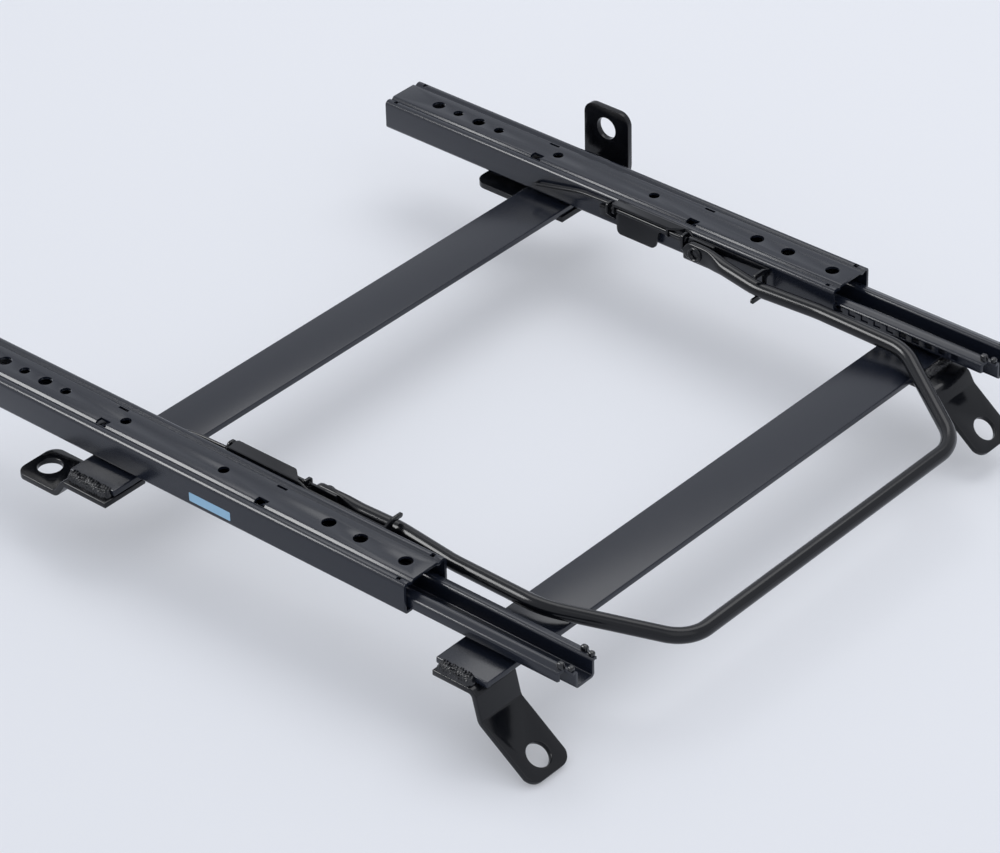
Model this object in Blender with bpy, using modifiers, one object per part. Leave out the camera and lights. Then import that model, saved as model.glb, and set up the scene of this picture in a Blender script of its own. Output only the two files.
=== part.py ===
"""Sliding seat rail pair on two crossbars, with its release handle and latches.

Sizes are in metres, +Z up. Places are first given in the rail frame: X forward from the
upper rail's rear end, Y from the centre line between the rails (right rail at minus Y),
Z from the top of the upper rail's panel. One empty then moves the rail frame so that the
origin lies in the middle under the whole part.
"""

import math

import bmesh
import bpy
from mathutils import Matrix, Vector

MM = 0.001

# Clearances
TOUCH = 0.3 * MM
RUNNING = 0.3 * MM

# Rail pair
RAIL_SPACING = 408.0 * MM
SHEET = 1.8 * MM

# Upper rail, an inverted C
UPPER_LENGTH = 383.0 * MM
UPPER_HALF = 18.6 * MM
UPPER_HEIGHT = 21.6 * MM
PANEL_HALF = 10.3 * MM
GROOVE_OFFSET = 12.0 * MM
GROOVE_DEPTH = 1.6 * MM
RIDGE_START = 14.4 * MM
RIDGE_DROP = 0.3 * MM
CREASE_RADIUS = 0.4 * MM
SHOULDER_RADIUS = 3.0 * MM
LIP_RADIUS = 2.6 * MM
LIP_INNER = 9.9 * MM
LIP_TOP = 14.5 * MM
HOLE_LARGE = 9.2 * MM
HOLE_SMALL = 7.2 * MM
LARGE_FROM_REAR = (32.6 * MM, 68.6 * MM)
LARGE_FROM_FRONT = (75.8 * MM, 50.6 * MM, 15.0 * MM)
SMALL_HOLES = (50.3 * MM, 86.6 * MM, 138.8 * MM, 221.4 * MM)
LANCE_PLACES = (128.5 * MM, 261.5 * MM)
LANCE_LENGTH = 8.0 * MM
LANCE_WIDE = 4.0 * MM
LANCE_NARROW = 2.0 * MM
LANCE_OFFSET = 8.6 * MM
STOP_SIZE = 3.0 * MM
STOP_FROM_END = 7.0 * MM
STOP_OFFSET = 14.9 * MM

# Lower rail, a channel with hooked flanges
LOWER_START = 103.5 * MM
LOWER_LENGTH = 400.0 * MM
CHANNEL_HALF = 8.2 * MM
CHANNEL_BOTTOM = 23.2 * MM
CHANNEL_TOP = 9.2 * MM
FLANGE_HALF = 14.8 * MM
FLANGE_CORNER = 12.0 * MM
FLANGE_BOTTOM = 18.3 * MM
FLANGE_CUT_BACK = 6.5 * MM
BEND_RADIUS = 2.6 * MM
STOP_TAB_HEIGHT = 5.0 * MM
STOP_TAB_WIDE = 3.0 * MM
STOP_TAB_THICK = 2.4 * MM
STOP_TAB_BACK = 3.0 * MM

# Slide travel and its notches
NOTCH_PITCH = 10.0 * MM
NOTCH_STEPS = 24
SLOT_WIDTH = 5.6 * MM
SLOT_TOP = 12.9 * MM
SLOT_BOTTOM = 17.0 * MM

# Balls, rollers and what keeps them
BALL_RADIUS = 3.5 * MM
CAGE_REAR_INSET = 22.5 * MM
CAGE_FRONT_INSET = 11.0 * MM
CAGE_THICK = 1.2 * MM
CAGE_INNER = 9.0 * MM
CAGE_OUTER = 16.3 * MM
BALL_FROM_END = 14.0 * MM
BALL_PITCH = 22.0 * MM
BALLS_PER_GROUP = 2
RETAINER_PLATE = 1.0 * MM
RETAINER_SIDE_GAP = 0.4 * MM
RETAINER_HEIGHT = 6.0 * MM
RETAINER_INSET = 9.0 * MM
ROLLER_FROM_END = 26.0 * MM
ROLLER_PIN_RADIUS = 2.0 * MM
ROLLER_BEVEL = 0.8 * MM

# Crossbars
BAR_THICK = 4.5 * MM
REAR_BAR = (123.0 * MM, 161.0 * MM)
FRONT_BAR = (421.3 * MM, 460.5 * MM)
BAR_RIGHT_END = -239.0 * MM
BAR_LEFT_END = 222.0 * MM
BAR_EDGE = 0.8 * MM

# Floor brackets. Those bent from a strip run from under a bar to a tab: y is the strip's
# width, under and past are measured from the bar's edge, then come the joggle and the tab.
PLATE = 4.0 * MM
BOLT_HOLE = 16.0 * MM
HOLE_FROM_TIP = 13.5 * MM
TAB_CORNER = 9.0 * MM
STRIP_BRACKETS = {
    "bracket_rear_right": {"y": (-247.0 * MM, -212.0 * MM), "way": -1.0, "edge": REAR_BAR[0],
                           "under": 38.0 * MM, "past": 0.0, "run": 7.5 * MM,
                           "drop": 10.5 * MM, "tab": 34.5 * MM, "slope": 0.0},
    "bracket_front_right": {"y": (-245.0 * MM, -210.0 * MM), "way": 1.0, "edge": FRONT_BAR[1],
                            "under": 37.0 * MM, "past": -4.5 * MM, "run": 5.0 * MM,
                            "drop": 20.0 * MM, "tab": 47.0 * MM, "slope": math.radians(36)},
    "bracket_front_left": {"y": (168.0 * MM, 203.0 * MM), "way": 1.0, "edge": FRONT_BAR[1],
                           "under": 36.0 * MM, "past": 16.5 * MM, "run": 5.0 * MM,
                           "drop": 9.0 * MM, "tab": 40.6 * MM, "slope": math.radians(38)},
}
BEND_OUTER = 6.5 * MM
BEND_INNER = 3.0 * MM
UPRIGHT_REACH = 27.0 * MM
UPRIGHT_TOP = 17.5 * MM
UPRIGHT_X = (124.0 * MM, 162.0 * MM)
UPRIGHT_HOLE_DROP = 15.8 * MM
UPRIGHT_BEND = 8.0 * MM
UPRIGHT_BASE_X = 84.0 * MM
UPRIGHT_BASE_WIDE = 44.0 * MM
UPRIGHT_BASE_PAST = 2.0 * MM
WELD_RADIUS = 2.2 * MM
WELD_STEP = 3.0 * MM
WELD_MARGIN = 4.0 * MM

# Lock lever on each rail's inboard side. Its sizes are those of the latched lever; at rest it
# stands drawn back, its teeth just clear of the lower rail's slots.
LATCH_DRAWN = math.radians(8)
LEVER_SHEET = 1.6 * MM
LEVER_GAP = 0.6 * MM
LEVER_AXIS_Y = 179.0 * MM
LEVER_AXIS_Z = -3.5 * MM
LEVER_REAR = 207.0 * MM
LEVER_FOLD_FRONT = 265.0 * MM
LEVER_FOLD_EDGE = 176.2 * MM
FOLD_TAPER = 9.0 * MM
EAR_INSET = 1.8 * MM
EAR_GAP = 2.2 * MM
LEVER_TOP = 1.1 * MM
LEVER_WEB_BOTTOM = -9.0 * MM
LOBE_X = (209.0 * MM, 241.0 * MM)
LOBE_BOTTOM = -22.2 * MM
LOBE_CORNER = 4.0 * MM
LEVER_CORNER = 2.0 * MM
FOLD_CORNER = 1.0 * MM
ARM_TOP = -2.4 * MM
ARM_BOTTOM = -6.4 * MM
LEVER_EAR_DROP = 7.6 * MM
JOIN_STEP = 0.1 * MM
TOOTH_FIRST = 215.0 * MM
TOOTH_COUNT = 3
TOOTH_WIDTH = 4.6 * MM
TOOTH_TOP = -13.2 * MM
TOOTH_REACH = 1.1 * MM
WINDOW_TOP = -12.3 * MM
WINDOW_BOTTOM = -18.7 * MM
WINDOW_MARGIN = 2.6 * MM
FORK_X = 332.0 * MM
FORK_PLAY_UP = 3.0 * MM
FORK_PLAY_DOWN = 1.1 * MM
FORK_PLAY_SIDE = 1.7 * MM
FORK_REACH = 2.5 * MM
FORK_BACK_WIDE = 2.8 * MM
FORK_BACK_TOP = -7.5 * MM
FINGER_TALL = 3.1 * MM
FINGER_CORNER = 1.2 * MM
PIN_RADIUS = 1.6 * MM
PIN_STAND_OUT = 1.2 * MM
EAR_SHEET = 1.8 * MM
EAR_INBOARD = 3.2 * MM
EAR_OUTBOARD = 2.8 * MM
EAR_UNDER_PIN = 4.0 * MM
EAR_SHOULDER = -8.6 * MM
REAR_EAR_FOOT = 13.0 * MM
REAR_FOOT_TALL = 8.0 * MM
REAR_EAR_Z = (-16.0 * MM, 0.4 * MM)

# Bracket that carries the handle's pivot and the lever pin's front end
BRACKET_SHEET = 1.8 * MM
BRACKET_WALL_Y = 178.8 * MM
BRACKET_X = (266.2 * MM, 291.0 * MM)
BRACKET_TOP = -1.2 * MM
BRACKET_BOTTOM = -19.8 * MM
BRACKET_FOOT_TOP = -10.0 * MM
BRACKET_CORNER = 2.6 * MM
PIN_NOTCH = 2.6 * MM

# Release handle, a bent tube with flattened ends
TUBE_RADIUS = 5.0 * MM
HANDLE_PIVOT = (280.0 * MM, -8.0 * MM)
HANDLE_BEHIND_PIVOT = 10.0 * MM
HANDLE_END_Y = 176.0 * MM
FLAT_HALF_THICK = 2.5 * MM
FLAT_HALF_TALL = 6.5 * MM
FLAT_LENGTH = 18.0 * MM
FLAT_BLEND = 18.0 * MM
HANDLE_AT_FORK = (170.8 * MM, -11.5 * MM)
HANDLE_AT_MOUTH = (378.7 * MM, 175.0 * MM, -12.3 * MM)
HANDLE_SHOULDER = (447.5 * MM, 174.8 * MM, -13.4 * MM)
HANDLE_CORNER = (519.8 * MM, 129.1 * MM, -28.5 * MM)
SHOULDER_BEND = 40.0 * MM
CORNER_BEND = 28.0 * MM
SOFT_BEND = 60.0 * MM
NOSE_SHARE = 0.3
STUD_RADIUS = 3.7 * MM
STUD_HEAD_RADIUS = 6.0 * MM
STUD_HEAD_THICK = 1.4 * MM

# Return spring wire
WIRE_RADIUS = 1.1 * MM
WIRE_Y = 182.4 * MM
SPRING_REAR = 137.0 * MM
SPRING_RISE = 176.0 * MM
SPRING_LOW = -12.8 * MM
SPRING_HIGH = -3.4 * MM

# Places that follow from the sizes above
RAIL_Y = RAIL_SPACING / 2
RAIL_SIDE = RAIL_Y - UPPER_HALF
LARGE_HOLES = LARGE_FROM_REAR + tuple(UPPER_LENGTH - x for x in LARGE_FROM_FRONT)
LOWER_END = LOWER_START + LOWER_LENGTH
CAGE_START = LOWER_START + CAGE_REAR_INSET
CAGE_END = UPPER_LENGTH - CAGE_FRONT_INSET
BAR_TOP = -CHANNEL_BOTTOM - TOUCH
BAR_BOTTOM = BAR_TOP - BAR_THICK
BASE_TOP = BAR_BOTTOM - TOUCH
UPRIGHT_FACE = BAR_LEFT_END + UPRIGHT_REACH
UPRIGHT_BASE_OUT = BAR_LEFT_END + UPRIGHT_BASE_PAST
UPRIGHT_BASE_Y = UPRIGHT_BASE_OUT - UPRIGHT_BASE_WIDE
EAR_EDGE = LEVER_AXIS_Y - EAR_INBOARD
EAR_OUTER = LEVER_AXIS_Y + EAR_OUTBOARD
HANDLE_END = HANDLE_PIVOT[0] - HANDLE_BEHIND_PIVOT
FLAT_FULL_UNTIL = HANDLE_END + FLAT_LENGTH
FLAT_NONE_FROM = FLAT_FULL_UNTIL + FLAT_BLEND
LEVER_OUTER = RAIL_SIDE - LEVER_GAP
LEVER_INNER = LEVER_OUTER - LEVER_SHEET
FLANGE_FACE = RAIL_Y - FLANGE_HALF
CHANNEL_FLOOR = -CHANNEL_BOTTOM + SHEET
ROLLER_GAP = -SHEET - CHANNEL_FLOOR
ROLLER_RADIUS = (ROLLER_GAP - 2 * RUNNING) / 2
ROLLER_Z = CHANNEL_FLOOR + ROLLER_GAP / 2
FLANGE_SLOPE = math.atan2(FLANGE_CORNER - CHANNEL_TOP, FLANGE_HALF - CHANNEL_HALF + SHEET)
BALL_Y = UPPER_HALF - SHEET - RUNNING - BALL_RADIUS
BALL_Z = (-CHANNEL_TOP - (BALL_Y - CHANNEL_HALF + SHEET) * math.tan(FLANGE_SLOPE)
          + (BALL_RADIUS + RUNNING) / math.cos(FLANGE_SLOPE))
RETAINER_HALF = CHANNEL_HALF - SHEET - RETAINER_SIDE_GAP
SIDES = {"right": -1.0, "left": 1.0}

# Planes: each maps (u, v, w) to the rail frame
PLAN = Matrix(((1, 0, 0, 0), (0, 1, 0, 0), (0, 0, 1, 0), (0, 0, 0, 1)))
SIDE = Matrix(((1, 0, 0, 0), (0, 0, 1, 0), (0, 1, 0, 0), (0, 0, 0, 1)))
FRONT = Matrix(((0, 0, 1, 0), (1, 0, 0, 0), (0, 1, 0, 0), (0, 0, 0, 1)))


def clear_scene():
    for item in list(bpy.data.objects):
        bpy.data.objects.remove(item, do_unlink=True)


def new_collection(name):
    collection = bpy.data.collections.new(name)
    bpy.context.scene.collection.children.link(collection)
    return collection


def new_material(name, colour, metallic, roughness):
    material = bpy.data.materials.new(name)
    material.use_nodes = True
    shader = material.node_tree.nodes["Principled BSDF"]
    shader.inputs["Base Color"].default_value = (*colour, 1.0)
    shader.inputs["Metallic"].default_value = metallic
    shader.inputs["Roughness"].default_value = roughness
    return material


def add_object(name, mesh, kit, material=None):
    """Puts a mesh in the parts collection, or among the cutters when it has no material."""
    item = bpy.data.objects.new(name, mesh)
    item.parent = kit["frame"]
    if material:
        kit["parts"].objects.link(item)
        mesh.materials.append(kit[material])
    else:
        kit["cutters"].objects.link(item)
        item.hide_render = True
        item.display_type = "WIRE"
    return item


def set_pivot(item, point):
    """Moves the object's origin to a point of the rail frame, with its mesh left in place."""
    item.data.transform(Matrix.Translation(-Vector(point)))
    item.location = point


def turn_about(item, point, angle):
    """Turns an object's mesh, and those of its cutters, about a line along X through a point."""
    place = Matrix.Translation(point) @ Matrix.Rotation(angle, 4, "X")
    place = place @ Matrix.Translation(-Vector(point))
    for piece in [item, *[change.object for change in item.modifiers if change.object]]:
        piece.data.transform(place)


def smooth(item):
    item.data.shade_smooth()
    item.data.set_sharp_from_angle(angle=math.radians(35))


def fillet(points, radii, step=math.radians(30)):
    """A path of 2D or 3D points with its inner corners rounded by arcs."""
    path = [Vector(points[0])]
    for before, corner, after, radius in zip(points, points[1:], points[2:], radii):
        corner = Vector(corner)
        back = (Vector(before) - corner).normalized()
        ahead = (Vector(after) - corner).normalized()
        turn = math.pi - back.angle(ahead)
        if radius <= 0 or turn < 1e-4:
            path.append(corner)
            continue
        reach = radius * math.tan(turn / 2)
        middle = corner + (back + ahead).normalized() * radius / math.cos(turn / 2)
        first = corner + back * reach - middle
        last = corner + ahead * reach - middle
        count = max(2, math.ceil(turn / step))
        for index in range(count + 1):
            share = index / count
            low = math.sin((1 - share) * turn) / math.sin(turn)
            high = math.sin(share * turn) / math.sin(turn)
            path.append(middle + first * low + last * high)
    path.append(Vector(points[-1]))
    return path


def rounded(points, radii):
    """A closed outline with rounded corners, one radius for each corner."""
    loop = [points[-1], *points, points[0]]
    return fillet(loop, radii)[1:-1]


def circle(u, v, radius, count=24):
    return [Vector((u + radius * math.cos(math.tau * i / count),
                    v + radius * math.sin(math.tau * i / count))) for i in range(count)]


def mesh_from_curve(curve, weld=1e-6):
    """Turns a curve into a closed mesh with its caps welded."""
    holder = bpy.data.objects.new(curve.name, curve)
    bpy.context.scene.collection.objects.link(holder)
    bpy.context.view_layer.update()
    shape = holder.evaluated_get(bpy.context.evaluated_depsgraph_get())
    mesh = bpy.data.meshes.new_from_object(shape)
    bpy.data.objects.remove(holder, do_unlink=True)
    solid = bmesh.new()
    solid.from_mesh(mesh)
    bmesh.ops.remove_doubles(solid, verts=solid.verts, dist=weld)
    bmesh.ops.recalc_face_normals(solid, faces=solid.faces)
    solid.to_mesh(mesh)
    solid.free()
    mesh.materials.clear()
    return mesh


def prism(name, kit, outline, depth, plane, middle, material=None, holes=()):
    """A flat outline, with its holes, extruded by depth about the middle of its plane."""
    curve = bpy.data.curves.new(name, "CURVE")
    curve.dimensions = "2D"
    curve.fill_mode = "BOTH"
    curve.extrude = depth / 2
    for loop in (outline, *holes):
        spline = curve.splines.new("POLY")
        spline.points.add(len(loop) - 1)
        for point, place in zip(spline.points, loop):
            point.co = (place[0], place[1], 0.0, 1.0)
        spline.use_cyclic_u = True
    mesh = mesh_from_curve(curve)
    mesh.transform(Matrix.Translation(plane @ Vector((0, 0, middle))) @ plane)
    if plane.determinant() < 0:
        mesh.flip_normals()
    return add_object(name, mesh, kit, material)


def sheet(name, kit, profile, span, plane, thick, inside, material=None):
    """A bent plate: an open profile swept over a span, thickened towards a point inside."""
    shape = bmesh.new()
    rows = []
    for depth in span:
        rows.append([shape.verts.new(plane @ Vector((p[0], p[1], depth))) for p in profile])
    for index in range(len(profile) - 1):
        shape.faces.new((rows[0][index], rows[0][index + 1],
                         rows[1][index + 1], rows[1][index]))
    shape.normal_update()
    shape.faces.ensure_lookup_table()
    first = shape.faces[0]
    towards = plane @ Vector((*inside, span[0])) - first.calc_center_median()
    if first.normal.dot(towards) > 0:
        bmesh.ops.reverse_faces(shape, faces=shape.faces)
    mesh = bpy.data.meshes.new(name)
    shape.to_mesh(mesh)
    shape.free()
    item = add_object(name, mesh, kit, material)
    solid = item.modifiers.new("Thickness", "SOLIDIFY")
    solid.thickness = thick
    solid.offset = -1.0
    solid.use_even_offset = True
    return item


def primitives(name, kit, boxes=(), rods=(), material=None, count=24):
    """One mesh of boxes, each by two opposite corners, and of rods, each by its middle,
    axis, radius and length."""
    shape = bmesh.new()
    for low, high in boxes:
        low = Vector(low)
        high = Vector(high)
        size = Vector([abs(value) for value in high - low])
        place = Matrix.Translation((low + high) / 2) @ Matrix.Diagonal((*size, 1.0))
        bmesh.ops.create_cube(shape, size=1.0, matrix=place)
    for middle, axis, radius, length in rods:
        turn = Vector((0, 0, 1)).rotation_difference(Vector(axis)).to_matrix().to_4x4()
        bmesh.ops.create_cone(shape, cap_ends=True, segments=count, radius1=radius,
                              radius2=radius, depth=length,
                              matrix=Matrix.Translation(middle) @ turn)
    mesh = bpy.data.meshes.new(name)
    shape.to_mesh(mesh)
    shape.free()
    return add_object(name, mesh, kit, material)


def boxes(name, kit, corners, material=None):
    return primitives(name, kit, corners, (), material)


def cylinders(name, kit, places, material=None, count=24):
    return primitives(name, kit, (), places, material, count)


def combine(item, tool, operation):
    change = item.modifiers.new(tool.name, "BOOLEAN")
    change.operation = operation
    change.object = tool


def upper_profile():
    """The rolled outer surface of the upper rail, from one lip round to the other."""
    half = [(0.0, 0.0), (PANEL_HALF, 0.0), (GROOVE_OFFSET, -GROOVE_DEPTH),
            (RIDGE_START, -RIDGE_DROP), (UPPER_HALF, -RIDGE_DROP), (UPPER_HALF, -UPPER_HEIGHT),
            (LIP_INNER, -UPPER_HEIGHT), (LIP_INNER, -LIP_TOP)]
    crease = SHEET + CREASE_RADIUS
    radii = [crease, CREASE_RADIUS, crease, SHOULDER_RADIUS, LIP_RADIUS, LIP_RADIUS]
    right = fillet(half, radii)
    left = [Vector((-point[0], point[1])) for point in reversed(right[1:])]
    return left + right[1:]


def lower_profile():
    """The upper surface of the lower rail: flange, wall, floor, wall, flange."""
    wall = CHANNEL_HALF - SHEET
    half = [(0.0, CHANNEL_FLOOR), (wall, CHANNEL_FLOOR), (wall, -CHANNEL_TOP),
            (FLANGE_HALF, -FLANGE_CORNER), (FLANGE_HALF, -FLANGE_BOTTOM)]
    right = fillet(half, [BEND_RADIUS - SHEET, BEND_RADIUS, BEND_RADIUS])
    left = [Vector((-point[0], point[1])) for point in reversed(right[1:])]
    return left + right[1:]


def upper_rail(side, kit):
    """The rail that the seat bolts to, with its holes, lances and latch window."""
    sign = SIDES[side]
    centre = sign * RAIL_Y
    profile = [(centre + point[0], point[1]) for point in upper_profile()]
    rail = sheet("upper_rail_" + side, kit, profile, (0.0, UPPER_LENGTH), FRONT, SHEET,
                 (centre - UPPER_HALF, -UPPER_HEIGHT / 2), "charcoal")
    deep = 6 * SHEET
    holes = [((x, centre, 0), (0, 0, 1), HOLE_LARGE / 2, deep) for x in LARGE_HOLES]
    holes += [((x, centre, 0), (0, 0, 1), HOLE_SMALL / 2, deep) for x in SMALL_HOLES]
    cuts = []
    for x in LANCE_PLACES:
        for offset, width in ((-LANCE_OFFSET, LANCE_WIDE), (LANCE_OFFSET, LANCE_NARROW)):
            y = centre + offset
            cuts.append(((x - LANCE_LENGTH / 2, y - width / 2, -deep / 2),
                         (x + LANCE_LENGTH / 2, y + width / 2, deep / 2)))
    for x in (STOP_FROM_END, UPPER_LENGTH - STOP_FROM_END):
        for offset in (-STOP_OFFSET, STOP_OFFSET):
            y = centre + offset
            cuts.append(((x - STOP_SIZE / 2, y - STOP_SIZE / 2, -deep / 2),
                         (x + STOP_SIZE / 2, y + STOP_SIZE / 2, deep / 2)))
    rear = TOOTH_FIRST - TOOTH_WIDTH / 2 - WINDOW_MARGIN
    front = TOOTH_FIRST + (TOOTH_COUNT - 1) * NOTCH_PITCH + TOOTH_WIDTH / 2 + WINDOW_MARGIN
    cuts.append(((rear, sign * (RAIL_SIDE - SHEET), WINDOW_BOTTOM),
                 (front, sign * (RAIL_SIDE + 2 * SHEET), WINDOW_TOP)))
    cutter = primitives("upper_cuts_" + side, kit, cuts, holes, None, 18)
    combine(rail, cutter, "DIFFERENCE")
    set_pivot(rail, (0, centre, 0))
    smooth(rail)
    return rail


def lower_rail(side, kit):
    """The fixed rail, with the row of lock slots in its inboard flange."""
    sign = SIDES[side]
    centre = sign * RAIL_Y
    profile = [(centre + point[0], point[1]) for point in lower_profile()]
    rail = sheet("lower_rail_" + side, kit, profile, (LOWER_START, LOWER_END), FRONT, SHEET,
                 (centre - FLANGE_HALF + SHEET * 2, -FLANGE_BOTTOM), "charcoal")
    slots = []
    for index in range(NOTCH_STEPS + TOOTH_COUNT):
        x = TOOTH_FIRST + index * NOTCH_PITCH
        slots.append(((x - SLOT_WIDTH / 2, sign * (FLANGE_FACE - SHEET), -SLOT_BOTTOM),
                      (x + SLOT_WIDTH / 2, sign * (FLANGE_FACE + 1.5 * SHEET), -SLOT_TOP)))
    combine(rail, boxes("lock_slots_" + side, kit, slots), "DIFFERENCE")
    ends = []
    for way in (-1.0, 1.0):
        inner = centre + way * (CHANNEL_HALF + 1.2 * SHEET)
        outer = centre + way * (FLANGE_HALF + SHEET)
        ends.append(((LOWER_END - FLANGE_CUT_BACK, inner, -FLANGE_BOTTOM - SHEET),
                     (LOWER_END + SHEET, outer, -CHANNEL_TOP + SHEET)))
    combine(rail, boxes("flange_ends_" + side, kit, ends), "DIFFERENCE")
    front = LOWER_END - FLANGE_CUT_BACK - STOP_TAB_BACK
    tabs = []
    for way in (-1.0, 1.0):
        inner = centre + way * (CHANNEL_HALF + 1.1 * SHEET)
        tabs.append(((front, inner, -CHANNEL_TOP - SHEET),
                     (front + STOP_TAB_THICK, inner + way * STOP_TAB_WIDE,
                      -CHANNEL_TOP + STOP_TAB_HEIGHT - SHEET / 2)))
    combine(rail, boxes("stop_tabs_" + side, kit, tabs), "UNION")
    set_pivot(rail, (LOWER_START, centre, 0))
    smooth(rail)
    return rail


def crossbar(name, reach, kit):
    middle = (BAR_TOP + BAR_BOTTOM) / 2
    outline = [(reach[0], BAR_RIGHT_END), (reach[1], BAR_RIGHT_END),
               (reach[1], BAR_LEFT_END), (reach[0], BAR_LEFT_END)]
    bar = prism(name, kit, outline, BAR_THICK, PLAN, middle, "charcoal")
    edge = bar.modifiers.new("Edge", "BEVEL")
    edge.width = BAR_EDGE
    edge.segments = 2
    edge.limit_method = "ANGLE"
    set_pivot(bar, (reach[0], 0, BAR_TOP))
    return bar


def tab_plan(spec):
    """Key points of a strip bracket in the XZ plane, and the way that its tab points."""
    bend = spec["edge"] + spec["way"] * spec["past"]
    start = (spec["edge"] - spec["way"] * spec["under"], BASE_TOP)
    lower = (bend + spec["way"] * spec["run"], BASE_TOP - spec["drop"])
    ahead = Vector((spec["way"] * math.cos(spec["slope"]), 0, -math.sin(spec["slope"])))
    tip = Vector((lower[0], 0, lower[1])) + ahead * spec["tab"]
    return start, (bend, BASE_TOP), lower, tip, ahead


def lowest_point(spec):
    tip = tab_plan(spec)[3]
    return tip.z - PLATE * math.cos(spec["slope"])


def strip_bracket(name, kit):
    """A floor bracket: a bent strip with a rounded tab that is drilled for its bolt."""
    spec = STRIP_BRACKETS[name]
    start, upper, lower, tip, ahead = tab_plan(spec)
    low, high = spec["y"]
    past_tip = tip + ahead * PLATE
    corners = [start, upper, lower, (past_tip.x, past_tip.z)]
    path = fillet(corners, [BEND_OUTER, BEND_INNER])
    bracket = sheet(name, kit, path, spec["y"], SIDE, PLATE, (start[0], BASE_TOP - PLATE),
                    "black")
    back = -ahead
    across = Vector((0, 1, 0))
    up = back.cross(across)
    place = Matrix.Translation(tip) @ Matrix((back, across, up)).transposed().to_4x4()
    reach = 2 * (spec["under"] + spec["tab"] + spec["drop"] + abs(spec["past"]))
    outline = [(0, low), (reach, low - PLATE), (reach, high + PLATE), (0, high)]
    trim = prism(name + "_outline", kit, rounded(outline, [TAB_CORNER, 0, 0, TAB_CORNER]),
                 reach, PLAN, 0.0)
    trim.data.transform(place)
    combine(bracket, trim, "INTERSECT")
    hole = place @ Vector((HOLE_FROM_TIP, (low + high) / 2, 0))
    combine(bracket, cylinders(name + "_drill", kit, [(hole, up, BOLT_HOLE / 2, 6 * PLATE)]),
            "DIFFERENCE")
    set_pivot(bracket, (start[0], (low + high) / 2, BASE_TOP))
    smooth(bracket)
    return bracket


def upright_bracket(name, kit):
    """The rear left bracket: a base under the bar and an upright ear beside the rail."""
    margin = PLATE
    far = UPRIGHT_X[1]
    corners = [(UPRIGHT_BASE_Y, BASE_TOP), (UPRIGHT_FACE, BASE_TOP),
               (UPRIGHT_FACE, UPRIGHT_TOP + margin)]
    bracket = sheet(name, kit, fillet(corners, [UPRIGHT_BEND]),
                    (UPRIGHT_BASE_X - margin, far + margin), FRONT, PLATE,
                    (UPRIGHT_BASE_Y, BASE_TOP - PLATE), "black")
    floor = BASE_TOP - 2 * PLATE
    step = BASE_TOP + PLATE
    side = [(UPRIGHT_BASE_X - 2 * margin, floor), (far, floor), (far, UPRIGHT_TOP),
            (UPRIGHT_X[0], UPRIGHT_TOP), (UPRIGHT_X[0], step),
            (UPRIGHT_BASE_X - 2 * margin, step)]
    depth = 2 * (UPRIGHT_FACE - UPRIGHT_BASE_Y)
    ear = prism(name + "_ear_outline", kit, rounded(side, [0, 0, TAB_CORNER, TAB_CORNER, 0, 0]),
                depth, SIDE, UPRIGHT_FACE)
    combine(bracket, ear, "INTERSECT")
    outer = UPRIGHT_FACE + 2 * PLATE
    inner = UPRIGHT_BASE_Y - PLATE
    plan = [(UPRIGHT_BASE_X, inner + PLATE), (far + 2 * margin, inner + PLATE),
            (far + 2 * margin, outer), (UPRIGHT_X[0] - TOUCH, outer),
            (UPRIGHT_X[0] - TOUCH, UPRIGHT_BASE_OUT), (UPRIGHT_BASE_X, UPRIGHT_BASE_OUT)]
    radii = [TAB_CORNER, 0, 0, 0, BEND_INNER, TAB_CORNER]
    base = prism(name + "_base_outline", kit, rounded(plan, radii), depth, PLAN, 0.0)
    combine(bracket, base, "INTERSECT")
    hole = ((UPRIGHT_X[0] + far) / 2, UPRIGHT_FACE + PLATE / 2,
            UPRIGHT_TOP - UPRIGHT_HOLE_DROP)
    combine(bracket, cylinders(name + "_drill", kit,
                               [(hole, (0, 1, 0), BOLT_HOLE / 2, 6 * PLATE)]), "DIFFERENCE")
    set_pivot(bracket, (UPRIGHT_BASE_X, UPRIGHT_BASE_Y, BASE_TOP))
    smooth(bracket)
    return bracket


def tube(name, path, radius, kit, material, resolution=2, scales=None):
    """A capped tube along a path; scales gives the share of the radius at each point."""
    curve = bpy.data.curves.new(name, "CURVE")
    curve.dimensions = "3D"
    curve.bevel_depth = radius
    curve.bevel_resolution = resolution
    curve.use_fill_caps = True
    spline = curve.splines.new("POLY")
    spline.points.add(len(path) - 1)
    for index, place in enumerate(path):
        spline.points[index].co = (*place, 1.0)
        if scales:
            spline.points[index].radius = scales[index]
    item = add_object(name, mesh_from_curve(curve), kit, material)
    smooth(item)
    return item


def weld_bead(name, start, end, kit):
    """A rippled bead laid in the corner between a bar and the bracket under it."""
    start = Vector(start)
    end = Vector(end)
    count = max(4, round((end - start).length / WELD_STEP))
    path = [start.lerp(end, index / count) for index in range(count + 1)]
    scales = [1.0 if index % 2 else 0.85 for index in range(count + 1)]
    scales[0] = scales[-1] = 0.5
    return tube(name, path, WELD_RADIUS, kit, "black", 1, scales)


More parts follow.
